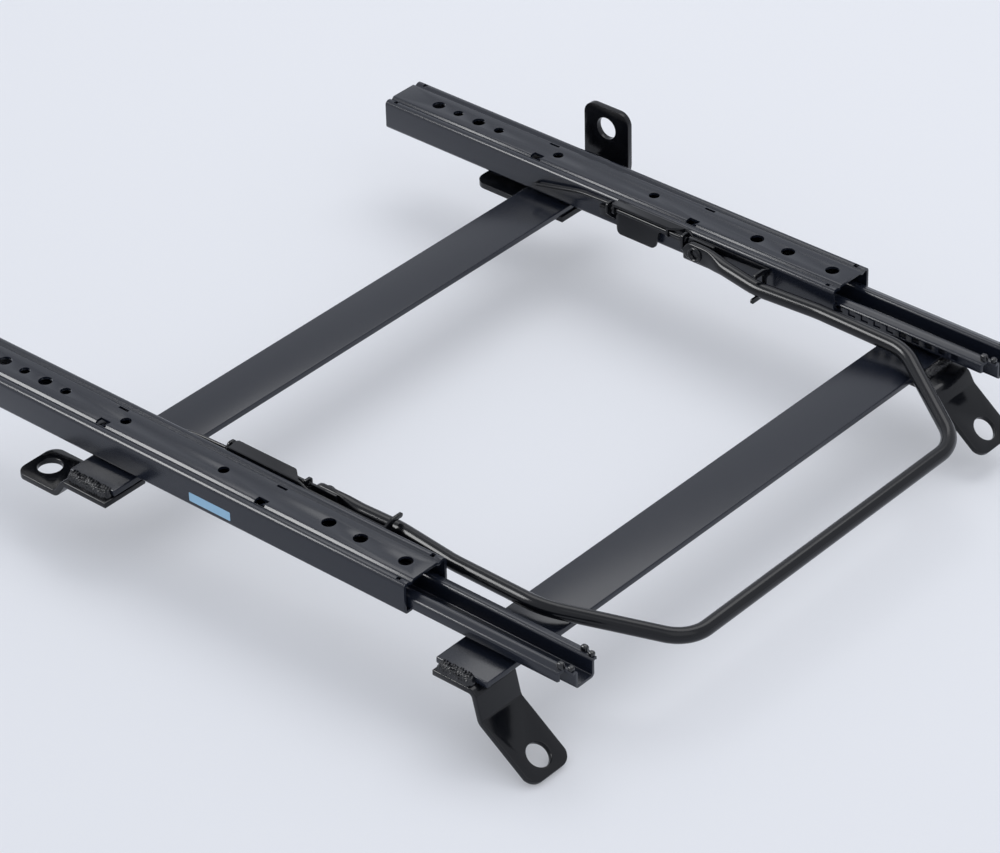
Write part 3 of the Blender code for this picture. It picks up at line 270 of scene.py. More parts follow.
def turned(name, profile, middle, axis, count=48):
    """A turned piece: a profile of (radius, height) spun about an axis through its middle."""
    profile = np.asarray(profile, float)
    angle = np.linspace(0, math.tau, count, endpoint=False)
    radius = np.maximum(profile[:, :1], 1e-3)
    local = np.stack([radius * np.cos(angle), radius * np.sin(angle),
                      np.broadcast_to(profile[:, 1:], (len(profile), count))], -1)
    plane = {"x": FRONT, "y": SIDE, "z": PLAN}[axis]
    return capped(name, local @ plane.T + np.asarray(middle, float))


def combined(piece, operation, *tools):
    """The piece after a Boolean with each tool; the tools are used up."""
    for tool in tools:
        change = piece.modifiers.new(tool.name, "BOOLEAN")
        change.operation = operation
        change.object = tool
    bake(piece)
    for tool in tools:
        bpy.data.objects.remove(tool, do_unlink=True)
    return piece


def merged(name, tools):
    """Several closed shapes that don't meet, as one cutter."""
    shape = bmesh.new()
    for tool in tools:
        shape.from_mesh(tool.data)
        bpy.data.objects.remove(tool, do_unlink=True)
    mesh = bpy.data.meshes.new(name)
    shape.to_mesh(mesh)
    shape.free()
    return new_piece(name, mesh)


def bake(piece):
    bpy.context.view_layer.update()
    shape = piece.evaluated_get(bpy.context.evaluated_depsgraph_get())
    mesh = bpy.data.meshes.new_from_object(shape)
    piece.modifiers.clear()
    piece.data = mesh


def rounded(piece, width, segments=3, angle=32):
    """Rounds the sharp edges and shades the rest smooth."""
    edge = piece.modifiers.new("Rounding", "BEVEL")
    edge.width = width
    edge.segments = segments
    edge.limit_method = "ANGLE"
    edge.angle_limit = math.radians(angle)
    edge.use_clamp_overlap = True
    edge.harden_normals = False
    bake(piece)
    smooth(piece, 40)
    return piece


def turn_about(piece, point, angle):
    """Turns a piece's mesh about a line along X through a point of the rail frame."""
    middle = Matrix.Translation(rail_to_world(point))
    piece.data.transform(middle @ Matrix.Rotation(angle, 4, "X") @ middle.inverted())


def smooth(piece, angle):
    piece.data.shade_smooth()
    piece.data.set_sharp_from_angle(angle=math.radians(angle))


def dress(piece, material, slot, body, *nodes):
    """Gives a piece its material and its body, and hides the nodes it stands for. The slot is not
    used.
    """
    piece.data.materials.clear()
    piece.data.materials.append(material)
    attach(piece, body)
    if nodes:
        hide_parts(*nodes)
    return piece


# Materials

def socket_group(name, inputs, outputs):
    """A new shader node group with its named inputs and outputs."""
    group = bpy.data.node_groups.new(name, "ShaderNodeTree")
    for label, kind, value in inputs:
        item = group.interface.new_socket(name=label, in_out="INPUT", socket_type=kind)
        if value is not None:
            item.default_value = value
    for label, kind in outputs:
        group.interface.new_socket(name=label, in_out="OUTPUT", socket_type=kind)
    entry = group.nodes.new("NodeGroupInput")
    leave = group.nodes.new("NodeGroupOutput")
    return group, entry, leave


def noise(tree, vector, scale, detail, rough=0.5):
    node = tree.nodes.new("ShaderNodeTexNoise")
    node.inputs["Detail"].default_value = detail
    node.inputs["Roughness"].default_value = rough
    if isinstance(scale, (int, float)):
        node.inputs["Scale"].default_value = scale
    else:
        tree.links.new(scale, node.inputs["Scale"])
    tree.links.new(vector, node.inputs["Vector"])
    return node.outputs["Fac"]


def spread(tree, value, low, high):
    """A 0 to 1 value mapped to a range; the ends may be sockets or numbers."""
    node = tree.nodes.new("ShaderNodeMapRange")
    tree.links.new(value, node.inputs["Value"])
    for label, end in (("To Min", low), ("To Max", high)):
        if isinstance(end, (int, float)):
            node.inputs[label].default_value = end
        else:
            tree.links.new(end, node.inputs[label])
    return node.outputs["Result"]


def paint_skin_group():
    """Orange peel height, a cloudy roughness and a slight tone change of a painted skin."""
    if "paint_skin" in bpy.data.node_groups:
        return bpy.data.node_groups["paint_skin"]
    group, entry, leave = socket_group(
        "paint_skin",
        [("Vector", "NodeSocketVector", None), ("Peel Scale", "NodeSocketFloat", 900.0),
         ("Rough Low", "NodeSocketFloat", 0.3), ("Rough High", "NodeSocketFloat", 0.4),
         ("Colour", "NodeSocketColor", (0.02, 0.02, 0.02, 1.0)),
         ("Pale Colour", "NodeSocketColor", (0.03, 0.03, 0.03, 1.0))],
        [("Height", "NodeSocketFloat"), ("Roughness", "NodeSocketFloat"),
         ("Base Colour", "NodeSocketColor")])
    peel = noise(group, entry.outputs["Vector"], entry.outputs["Peel Scale"], 2.0)
    cloud = noise(group, entry.outputs["Vector"], 45.0, 4.0, 0.6)
    dust = noise(group, entry.outputs["Vector"], 2600.0, 2.0, 0.7)
    group.links.new(peel, leave.inputs["Height"])
    rough = spread(group, cloud, entry.outputs["Rough Low"], entry.outputs["Rough High"])
    group.links.new(rough, leave.inputs["Roughness"])
    speck = group.nodes.new("ShaderNodeMapRange")
    speck.inputs["From Min"].default_value = 0.62
    speck.inputs["From Max"].default_value = 0.78
    group.links.new(dust, speck.inputs["Value"])
    mix = group.nodes.new("ShaderNodeMix")
    mix.data_type = "RGBA"
    group.links.new(speck.outputs["Result"], mix.inputs["Factor"])
    group.links.new(entry.outputs["Colour"], mix.inputs[6])
    group.links.new(entry.outputs["Pale Colour"], mix.inputs[7])
    group.links.new(mix.outputs[2], leave.inputs["Base Colour"])
    return group


def principled(name):
    material = bpy.data.materials.new(name)
    material.use_nodes = True
    tree = material.node_tree
    shader = tree.nodes["Principled BSDF"]
    place = tree.nodes.new("ShaderNodeTexCoord").outputs["Object"]
    return material, tree, shader, place


def bump(tree, height, shader, strength, distance):
    node = tree.nodes.new("ShaderNodeBump")
    node.inputs["Strength"].default_value = strength
    node.inputs["Distance"].default_value = distance
    tree.links.new(height, node.inputs["Height"])
    tree.links.new(node.outputs["Normal"], shader.inputs["Normal"])


def paint(name, colour, rough, peel, strength, level):
    """A painted finish: satin or gloss coat with fine orange peel and faint specks."""
    if name in bpy.data.materials:
        return bpy.data.materials[name]
    material, tree, shader, place = principled(name)
    skin = tree.nodes.new("ShaderNodeGroup")
    skin.node_tree = paint_skin_group()
    skin.inputs["Peel Scale"].default_value = peel
    skin.inputs["Rough Low"].default_value = rough[0]
    skin.inputs["Rough High"].default_value = rough[1]
    skin.inputs["Colour"].default_value = (*colour, 1.0)
    pale = [min(1.0, value * 1.7 + 0.004) for value in colour]
    skin.inputs["Pale Colour"].default_value = (*pale, 1.0)
    tree.links.new(place, skin.inputs["Vector"])
    tree.links.new(skin.outputs["Base Colour"], shader.inputs["Base Color"])
    tree.links.new(skin.outputs["Roughness"], shader.inputs["Roughness"])
    shader.inputs["Specular IOR Level"].default_value = level
    bump(tree, skin.outputs["Height"], shader, strength, 0.02 * MM)
    return material


def rail_paint():
    return paint("rail_paint", tuple(colours().paint), (0.21, 0.27), 1500.0, 0.3, 0.5)


def bracket_paint():
    return paint("bracket_paint", tuple(colours().gloss), (0.13, 0.19), 900.0, 0.35, 0.34)


def tube_paint():
    return paint("tube_paint", tuple(colours().gloss), (0.15, 0.20), 1200.0, 0.3, 0.34)


def weld_paint():
    return paint("weld_paint", tuple(colours().gloss), (0.12, 0.26), 700.0, 0.9, 0.6)


def bare_steel():
    """Ground steel with an oily sheen: fine scratches round the roughness."""
    if "bare_steel_look" in bpy.data.materials:
        return bpy.data.materials["bare_steel_look"]
    material, tree, shader, place = principled("bare_steel_look")
    stretch = tree.nodes.new("ShaderNodeMapping")
    stretch.inputs["Scale"].default_value = (1.0, 12.0, 12.0)
    tree.links.new(place, stretch.inputs["Vector"])
    grain = noise(tree, stretch.outputs["Vector"], 400.0, 4.0)
    tree.links.new(spread(tree, grain, 0.22, 0.42), shader.inputs["Roughness"])
    shader.inputs["Base Color"].default_value = (*colours().steel, 1.0)
    shader.inputs["Metallic"].default_value = 1.0
    bump(tree, grain, shader, 0.15, 0.01 * MM)
    return material


def label_film():
    """A printed film: plain pale blue with a faint clouding."""
    material, tree, shader, place = principled("label_film")
    cloud = noise(tree, place, 300.0, 3.0)
    tree.links.new(spread(tree, cloud, 0.32, 0.44), shader.inputs["Roughness"])
    shader.inputs["Base Color"].default_value = (*colours().label, 1.0)
    return material


# Rails

SHEET = 1.8
UPPER_HALF = 18.6
UPPER_HEIGHT = 21.6
PANEL_HALF = 10.3
GROOVE = (12.0, -1.6)
RIDGE = (14.4, -0.3)
LIP_INNER = 9.9
LIP_TOP = -14.5
CREASE = 0.5
CHANNEL_HALF = 8.2
CHANNEL_FLOOR = -21.4
CHANNEL_TOP = -9.2
FLANGE_HALF = 14.8
FLANGE_CORNER = -12.0
FLANGE_BOTTOM = -18.3
FLANGE_CUT_BACK = 6.5
LARGE_HOLES = (32.6, 68.6, 307.2, 332.4, 368.0)
SMALL_HOLES = (50.3, 86.6, 138.8, 221.4)
LARGE_RADIUS = 4.6
SMALL_RADIUS = 3.6
LANCES = (128.5, 261.5)
STOP_OFFSET = 14.9
STOP_FROM_END = 7.0
STOP_NOTCH = 1.5
CUT_DEPTH = 5.0
LANCE_NEAR = (-4.4, 4.2, -11.8, -6.6)
LANCE_FAR = (-4.0, 4.0, 7.6, 9.6)
TONGUE = ((4.6, -0.9), (2.4, -1.1), (-3.2, -4.4))
TONGUE_SHEET = 1.0
TONGUE_ROUND = 0.15
TONGUE_Y = (-10.2, -7.0)
LUG_FROM_CUT = 2.4
LUG_FROM_CENTRE = 10.4
LUG_Z = -9.2
LUG_HALF = (2.4, 2.0, 2.6)
KNOB_FROM_END = 2.5
KNOB_FROM_CENTRE = 9.0
KNOB_Z = -9.0
KNOB_HALF = (1.8, 1.9, 1.7)
NOTCH_PITCH = 10.0
NOTCHES = 27
TOOTH_FIRST = 215.0
TOOTH_WIDTH = 4.6
TOOTH_COUNT = 3
WINDOW_Z = (-18.7, -12.3)
WINDOW_MARGIN = 2.6
WINDOW_Y = (-3.0, 4.0)
SLOT_Z = (-17.0, -12.9)
SLOT_WIDTH = 5.6
SLOT_Y = (-2.0, 2.7)
END_CUT_PAST = 3.0
END_CUT_Z = (-22.0, -4.0)
END_LEDGE = 2.2
BEND = 2.6


def mirrored(half):
    """A symmetric path from its right half, which starts on the centre line."""
    left = half[1:][::-1] * np.array([-1.0, 1.0])
    return np.concatenate([left, half[1:]])


def upper_path():
    """The rolled outer skin of the upper rail, lip to lip over the panel."""
    half = round_path([(0, 0), (PANEL_HALF, 0), GROOVE, RIDGE, (UPPER_HALF, RIDGE[1]),
                       (UPPER_HALF, -UPPER_HEIGHT), (LIP_INNER, -UPPER_HEIGHT),
                       (LIP_INNER, LIP_TOP)],
                      [SHEET + CREASE, CREASE, SHEET + CREASE, 3.0, BEND, BEND])
    return mirrored(half)


def lower_path():
    """The upper skin of the lower rail: flange, wall, floor, wall and flange."""
    wall = CHANNEL_HALF - SHEET
    half = round_path([(0, CHANNEL_FLOOR), (wall, CHANNEL_FLOOR), (wall, CHANNEL_TOP),
                       (FLANGE_HALF, FLANGE_CORNER), (FLANGE_HALF, FLANGE_BOTTOM)],
                      [BEND - SHEET, BEND, BEND])
    return mirrored(half)


def upper_rail(side):
    """The seat rail: creased panel, bolt holes, lances, stop notches and latch window."""
    sign = SIDES[side]
    centre = sign * RAIL_Y
    path = upper_path() + np.array([centre, 0.0])
    rail = bent_sheet("rail_upper_" + side, path, -SHEET, (0.0, UPPER_LENGTH), FRONT)
    tools = [rod("hole", (x, centre, 0), "z", LARGE_RADIUS, 12) for x in LARGE_HOLES]
    tools += [rod("hole", (x, centre, 0), "z", SMALL_RADIUS, 12) for x in SMALL_HOLES]
    for x in LANCES:
        for rear, front, low, high in (LANCE_NEAR, LANCE_FAR):
            tools.append(box_between("lance", (x + rear, centre + low, -CUT_DEPTH),
                                     (x + front, centre + high, CUT_DEPTH)))
    for x in (STOP_FROM_END, UPPER_LENGTH - STOP_FROM_END):
        for way in (-1, 1):
            y = centre + way * STOP_OFFSET
            tools.append(box_between("stop", (x - STOP_NOTCH, y - STOP_NOTCH, -CUT_DEPTH),
                                     (x + STOP_NOTCH, y + STOP_NOTCH, CUT_DEPTH)))
    rear = TOOTH_FIRST - TOOTH_WIDTH / 2 - WINDOW_MARGIN
    front = TOOTH_FIRST + (TOOTH_COUNT - 1) * NOTCH_PITCH + TOOTH_WIDTH / 2 + WINDOW_MARGIN
    wall = sign * (RAIL_Y - UPPER_HALF)
    tools.append(box_between("window", (rear, wall + sign * WINDOW_Y[0], WINDOW_Z[0]),
                             (front, wall + sign * WINDOW_Y[1], WINDOW_Z[1])))
    combined(rail, "DIFFERENCE", merged("upper_cuts", tools))
    rounded(rail, sizes().edge_round)
    return dress(rail, rail_paint(), "charcoal_paint", "seat_slide_" + side,
                 "upper_rail_" + side)


def lance_tongues(side):
    """The small tongues pressed down out of the panel beside each lance opening."""
    centre = SIDES[side] * RAIL_Y
    for index, x in enumerate(LANCES):
        path = round_path([(x + along, z) for along, z in TONGUE], [3.0])
        tongue = bent_sheet("lance_tongue_" + side + str(index), path, TONGUE_SHEET,
                            (centre + TONGUE_Y[0], centre + TONGUE_Y[1]), SIDE)
        rounded(tongue, TONGUE_ROUND * MM, 2)
        dress(tongue, rail_paint(), "charcoal_paint", "seat_slide_" + side)


def lower_rail(side):
    """The floor rail: its channel, flanges cut back at the front, and lock slots."""
    sign = SIDES[side]
    centre = sign * RAIL_Y
    path = lower_path() + np.array([centre, 0.0])
    rail = bent_sheet("rail_lower_" + side, path, -SHEET, (LOWER_START, LOWER_END), FRONT)
    face = sign * (RAIL_Y - FLANGE_HALF)
    tools = []
    for index in range(NOTCHES):
        x = TOOTH_FIRST + index * NOTCH_PITCH
        tools.append(box_between("slot", (x - SLOT_WIDTH / 2, face + sign * SLOT_Y[0], SLOT_Z[0]),
                                 (x + SLOT_WIDTH / 2, face + sign * SLOT_Y[1], SLOT_Z[1])))
    for way in (-1, 1):
        outer = centre + way * (FLANGE_HALF + END_CUT_PAST)
        inner = centre + way * (CHANNEL_HALF + END_LEDGE)
        corner = LOWER_END - FLANGE_CUT_BACK
        past = LOWER_END + END_CUT_PAST
        outline = [(corner - END_CUT_PAST, outer), (corner, inner), (past, inner), (past, outer)]
        tools.append(extruded("end", outline, END_CUT_Z, PLAN))
    combined(rail, "DIFFERENCE", merged("lower_cuts", tools))
    rounded(rail, sizes().edge_round * 0.8)
    return dress(rail, rail_paint(), "charcoal_paint", "base", "lower_rail_" + side)


def lump(name, middle, half):
    """A rounded lump, a superellipsoid: each coordinate is its half size times the signed
    2/3 power of the sphere's cosines and sines."""
    rise = np.linspace(-1.5, 1.5, 15)[:, None]
    turn = np.linspace(0, math.tau, 28, endpoint=False)[None, :]
    unit = np.stack([np.cos(rise) * np.cos(turn), np.cos(rise) * np.sin(turn),
                     np.sin(rise) + 0 * turn], -1)
    points = np.sign(unit) * np.abs(unit) ** (2 / 3) * np.array(half) + np.array(middle)
    piece = capped(name, points)
    smooth(piece, 50)
    return piece


def stop_tabs(side):
    """The crimped stops near the lower rail's front end: a lug and a knob on each wall."""
    centre = SIDES[side] * RAIL_Y
    front = LOWER_END - FLANGE_CUT_BACK
    for place, way in (("inner", -SIDES[side]), ("outer", SIDES[side])):
        name = side + "_" + place
        lug = lump("stop_lug_" + name, (front - LUG_FROM_CUT,
                                            centre + way * LUG_FROM_CENTRE, LUG_Z), LUG_HALF)
        knob = lump("stop_knob_" + name, (LOWER_END - KNOB_FROM_END,
                                              centre + way * KNOB_FROM_CENTRE, KNOB_Z), KNOB_HALF)
        for piece in (lug, knob):
            dress(piece, weld_paint(), "charcoal_paint", "base")


# Bars, brackets and welds

PLATE = 4.0
BAR_ROUND = 0.9
HOLE_RADIUS = 8.0
TAB_CORNER = 9.0
HOLE_FROM_TIP = 13.5
BASE_TOP = BAR_Z[0] - 0.3
BEND_OUTER = 6.5
BEND_INNER = 3.0
BRACKETS = {
    "bracket_rear_right": {"y": (-247.0, -212.0), "way": -1.0, "edge": REAR_BAR[0],
                           "under": 38.0, "past": 0.0, "run": 7.5, "drop": 10.5,
                           "tab": 34.5, "slope": 0.0},
    "bracket_front_right": {"y": (-245.0, -210.0), "way": 1.0, "edge": FRONT_BAR[1],
                            "under": 37.0, "past": -4.5, "run": 5.0, "drop": 20.0,
                            "tab": 47.0, "slope": math.radians(36)},
    "bracket_front_left": {"y": (168.0, 203.0), "way": 1.0, "edge": FRONT_BAR[1],
                           "under": 36.0, "past": 16.5, "run": 5.0, "drop": 9.0,
                           "tab": 40.6, "slope": math.radians(38)},
}
UPRIGHT_X = (124.0, 162.0)
UPRIGHT_BASE_X = 84.0
UPRIGHT_BASE_Y = 180.0
UPRIGHT_BASE_OUT = 224.0
UPRIGHT_FACE = 249.0
UPRIGHT_TOP = 17.5
UPRIGHT_HOLE_DROP = 15.8
WELD_OUT = 5.6
WELD_BACK = 2.4
WELD_HIGH = 6.2
WELD_LOW = 3.9
WELD_SUNK = 0.4
WELD_PAST = 2.4
TRIM_REACH = 130.0
TRIM_DEPTH = 90.0
DRILL_DEPTH = 14.0


def crossbar(name, node, reach):
    """A flat rolled bar with eased edges."""
    bar = box_between(name, (reach[0], BAR_Y[0], BAR_Z[0]), (reach[1], BAR_Y[1], BAR_Z[1]))
    rounded(bar, BAR_ROUND * MM, 4)
    return dress(bar, rail_paint(), "charcoal_paint", "base", node)


def strip_bracket(name):
    """A bent strip with a rounded, drilled tab."""
    spec = BRACKETS[name]
    way = spec["way"]
    bend = spec["edge"] + way * spec["past"]
    start = np.array([spec["edge"] - way * spec["under"], BASE_TOP])
    lower = np.array([bend + way * spec["run"], BASE_TOP - spec["drop"]])
    ahead = np.array([way * math.cos(spec["slope"]), -math.sin(spec["slope"])])
    tip = lower + ahead * spec["tab"]
    path = round_path([start, (bend, BASE_TOP), lower, tip + ahead * PLATE],
                      [BEND_OUTER, BEND_INNER])
    low, high = spec["y"]
    bracket = bent_sheet(name + "_plate", path, -PLATE * way, (low, high), SIDE)
    outline = round_loop([(0, low), (TRIM_REACH, low - PLATE), (TRIM_REACH, high + PLATE),
                          (0, high)],
                         [TAB_CORNER, 0, 0, TAB_CORNER], 7.5)
    back = np.array([-ahead[0], 0, -ahead[1]])
    across = np.array([0.0, 1.0, 0.0])
    place = np.column_stack([back, across, np.cross(back, across)])
    shift = np.array([tip[0], 0, tip[1]])
    trim = extruded("trim", outline, (-TRIM_DEPTH, TRIM_DEPTH), place, shift)
    combined(bracket, "INTERSECT", trim)
    hole = circle(HOLE_FROM_TIP, (low + high) / 2, HOLE_RADIUS, 64)
    drill = extruded("drill", hole, (-DRILL_DEPTH, DRILL_DEPTH), place, shift)
    combined(bracket, "DIFFERENCE", drill)
    rounded(bracket, sizes().plate_round)
    return dress(bracket, bracket_paint(), "black_paint", "base", name)


def upright_bracket(name):
    """The rear left bracket with its ear standing beside the rail."""
    path = round_path([(UPRIGHT_BASE_Y, BASE_TOP), (UPRIGHT_FACE, BASE_TOP),
                       (UPRIGHT_FACE, UPRIGHT_TOP + PLATE)], [8.0])
    far = UPRIGHT_X[1]
    bracket = bent_sheet(name + "_plate", path, -PLATE, (UPRIGHT_BASE_X - 4, far + 4), FRONT)
    floor = BASE_TOP - 2 * PLATE
    step = BASE_TOP + PLATE
    side = round_loop([(UPRIGHT_BASE_X - 8, floor), (far, floor), (far, UPRIGHT_TOP),
                       (UPRIGHT_X[0], UPRIGHT_TOP), (UPRIGHT_X[0], step),
                       (UPRIGHT_BASE_X - 8, step)], [0, 0, TAB_CORNER, TAB_CORNER, 0, 0], 7.5)
    ear = extruded("ear", side, (UPRIGHT_BASE_Y - 30, UPRIGHT_FACE + 30), SIDE)
    combined(bracket, "INTERSECT", ear)
    edge = UPRIGHT_X[0] - 0.3
    plan = round_loop([(UPRIGHT_BASE_X, UPRIGHT_BASE_Y), (far + 8, UPRIGHT_BASE_Y),
                       (far + 8, UPRIGHT_FACE + 8), (edge, UPRIGHT_FACE + 8),
                       (edge, UPRIGHT_BASE_OUT), (UPRIGHT_BASE_X, UPRIGHT_BASE_OUT)],
                      [TAB_CORNER, 0, 0, 0, BEND_INNER, TAB_CORNER], 7.5)
    combined(bracket, "INTERSECT", extruded("base", plan, (-60, 40), PLAN))
    middle = (UPRIGHT_X[0] + far) / 2
    hole = rod("drill", (middle, UPRIGHT_FACE + PLATE / 2, UPRIGHT_TOP - UPRIGHT_HOLE_DROP),
               "y", HOLE_RADIUS, 24, 64)
    combined(bracket, "DIFFERENCE", hole)
    rounded(bracket, sizes().plate_round)
    return dress(bracket, bracket_paint(), "black_paint", "base", name)


def weld_bead(name, start, end, out, high):
    """A weld puddle melted over a bar's end and down on to the plate.

    At each step s along the bar's end the section is half a superellipse, from WELD_BACK over
    the bar's top to WELD_OUT on the plate. Its size is 1 + n(s, a), where n is a sum of sine
    waves in s and the section's angle a, and a quarter circle draws in both ends.
    """
    start = np.array(start, float)
    end = np.array(end, float)
    length = np.linalg.norm(end - start)
    run = np.linspace(0, length, int(length * 4))[:, None]
    angle = np.linspace(0, math.pi, 40)[None, :]
    dabs = (np.sin(1.9 * run + 2.3 * angle) * np.sin(0.8 * run - 1.7 * angle + 1.0)
            + 0.7 * np.sin(3.1 * run + 5.0 * angle + 2.0) + 0.45 * np.sin(6.3 * run - 7.0 * angle))
    tip = np.minimum(run, length - run)
    size = np.sqrt(np.clip(1 - (1 - np.minimum(tip / 3.0, 1)) ** 2, 0.03, 1))
    half = (WELD_OUT + WELD_BACK) / 2
    size = size * (1 + sizes().weld_ripple / MM / half * dabs)
    cos = np.cos(angle)
    away = (WELD_OUT - WELD_BACK) / 2 + half * np.sign(cos) * np.abs(cos) ** 0.8 * size
    rise = high * np.sin(angle) ** 0.8 * size - WELD_SUNK
    along = (end - start) / length
    points = (start + run[..., None] * along + away[..., None] * np.array(out, float)
              + rise[..., None] * np.array([0.0, 0.0, 1.0]))
    bead = capped("bead_" + name, points)
    smooth(bead, 70)
    return dress(bead, weld_paint(), "black_paint", "base", name)


# Latches

LEVER_SHEET = 1.6
LEVER_ROUND = 0.28
EAR_ROUND = 0.25
LEVER_OUTER = RAIL_Y - UPPER_HALF - 0.6
LEVER_INNER = LEVER_OUTER - LEVER_SHEET
AXIS_Y = 179.0
AXIS_Z = -3.5
LEVER_REAR = 207.0
FOLD_FRONT = 265.0
FOLD_EDGE = 176.2
FOLD_TAPER = 9.0
LEVER_TOP = 1.1
LATCH_DRAWN = math.radians(8)
WEB_BOTTOM = -9.0
LOBE_X = (209.0, 241.0)
LOBE_BOTTOM = -22.2
ARM_Z = (-6.4, -2.4)
TOOTH_TOP = -13.2
TOOTH_REACH = 1.1
FORK_X = 332.0
FORK_TIP = 168.3
FORK_BACK = (177.5, 180.3)
FORK_OVER = (-3.5, -0.4)
FORK_UNDER = (-20.8, -17.4)
KNOB_TIP = 165.4
PIN_RADIUS = 1.6
PIN_HOLE = 1.9
EAR_SHEET = 1.8
EAR_EDGE = 175.8
EAR_OUTER = 181.8
EAR_TOP = 0.4
EAR_LOW = -16.0
STEP = 0.1
BRACKET_X = (266.2, 291.0)
BRACKET_WALL = 178.8
BRACKET_Z = (-19.8, -1.2)
BRACKET_FOOT = -10.0
SHOULDER = -8.6


def sided(outline, sign):
    return [(sign * u, v) for u, v in outline]


def fork_outline():
    """The lever's fork from the front, a finger over the tube and one under it.

    Its places (y, z) on the lever at rest turn by LATCH_DRAWN to the latched lever: y' = y cos -
    z sin, z' = z cos + y sin about the pin.
    """
    at_rest = np.array([(FORK_BACK[0], FORK_OVER[1]), (FORK_TIP, FORK_OVER[1]),
                        (FORK_TIP, FORK_OVER[0]), (FORK_BACK[0], FORK_OVER[0]),
                        (FORK_BACK[0], FORK_UNDER[1]), (KNOB_TIP, FORK_UNDER[1]),
                        (KNOB_TIP, FORK_UNDER[0]), (FORK_BACK[1], FORK_UNDER[0]),
                        (FORK_BACK[1], -7.5)]) - (AXIS_Y, AXIS_Z)
    back = math.cos(LATCH_DRAWN)
    down = math.sin(LATCH_DRAWN)
    y = AXIS_Y + at_rest[:, 0] * back - at_rest[:, 1] * down
    z = AXIS_Z + at_rest[:, 1] * back + at_rest[:, 0] * down
    root = (LEVER_INNER + LEVER_OUTER) / 2
    points = [*zip(y.tolist(), z.tolist()), (root, ARM_Z[0] + STEP), (root, ARM_Z[1] - STEP)]
    return round_loop(points, [2, 1.3, 1.3, 2, 2, 1.3, 1.3, 2, 2, 0, 0])


def lock_lever(side):
    """The latch lever: web with its lobe, folded top, ears, teeth, arm and fork."""
    sign = SIDES[side]
    inner, outer = sorted((sign * LEVER_INNER, sign * LEVER_OUTER))
    middle = (inner + outer) / 2
    web = round_loop([(LEVER_REAR, LEVER_TOP), (LEVER_REAR, WEB_BOTTOM - 1.8),
                      (LOBE_X[0], LOBE_BOTTOM), (LOBE_X[1], LOBE_BOTTOM),
                      (LOBE_X[1] + 1.8, WEB_BOTTOM), (FOLD_FRONT - 3.6, WEB_BOTTOM),
                      (FOLD_FRONT, ARM_Z[0]), (FORK_X + LEVER_SHEET / 2, ARM_Z[0]),
                      (FORK_X + LEVER_SHEET / 2, ARM_Z[1]), (FOLD_FRONT + 5.4, ARM_Z[1]),
                      (FOLD_FRONT, LEVER_TOP)], [0, 2, 4, 4, 2, 2, 2, 0, 0, 2, 1])
    lever = extruded("latch_lever_" + side, web, (inner, outer), SIDE)
    rear = LEVER_REAR + STEP
    front = FOLD_FRONT - STEP
    edge = sign * FOLD_EDGE
    fold = round_loop([(rear, middle), (rear, edge), (front - FOLD_TAPER, edge),
                       (front, middle)], [0, 2, 4, 0])
    top = LEVER_TOP - STEP
    tools = [extruded("fold", fold, (top - LEVER_SHEET, top), PLAN)]
    low = LEVER_TOP - 7.6
    edge = sign * (FOLD_EDGE + STEP)
    ear = round_loop([(middle, LEVER_TOP - 0.8), (middle, low), (edge, low),
                      (edge, LEVER_TOP - 0.8)], [0, 0, 2, 0])
    for x in (rear + 1.8, front - FOLD_TAPER - 1.8):
        tools.append(extruded("ear", ear, (x - LEVER_SHEET / 2, x + LEVER_SHEET / 2), FRONT))
    for index in range(TOOTH_COUNT):
        x = TOOTH_FIRST + index * NOTCH_PITCH
        reach = sign * (RAIL_Y - FLANGE_HALF + TOOTH_REACH)
        tools.append(box_between("tooth", (x - TOOTH_WIDTH / 2, middle, TOOTH_TOP - LEVER_SHEET),
                                 (x + TOOTH_WIDTH / 2, reach, TOOTH_TOP)))
    tools.append(extruded("fork", sided(fork_outline(), sign), (FORK_X, FORK_X + LEVER_SHEET),
                          FRONT))
    combined(lever, "UNION", *tools)
    combined(lever, "DIFFERENCE", rod("pin_hole", ((rear + front) / 2, sign * AXIS_Y, AXIS_Z), "x",
                                      PIN_HOLE, 90, 24))
    turn_about(lever, (0, sign * AXIS_Y, AXIS_Z), -sign * LATCH_DRAWN)
    rounded(lever, LEVER_ROUND * MM, 2)
    return dress(lever, bracket_paint(), "black_paint", "latch_" + side, "lock_lever_" + side)


def lever_pin(side):
    """The lever's pin with domed ends."""
    low, high = node_span("lever_pin_" + side, 0)
    half = (high - low) / 2
    profile = [(0, -half), (1.0, -half + 0.05), (1.5, -half + 0.35), (PIN_RADIUS, -half + 0.7),
               (PIN_RADIUS, half - 0.7), (1.5, half - 0.35), (1.0, half - 0.05), (0, half)]
    pin = turned("pin_" + side, profile, ((low + high) / 2, SIDES[side] * AXIS_Y, AXIS_Z), "x",
                 32)
    smooth(pin, 50)
    return dress(pin, bracket_paint(), "black_paint", "latch_pin_" + side,
                 "lever_pin_" + side)


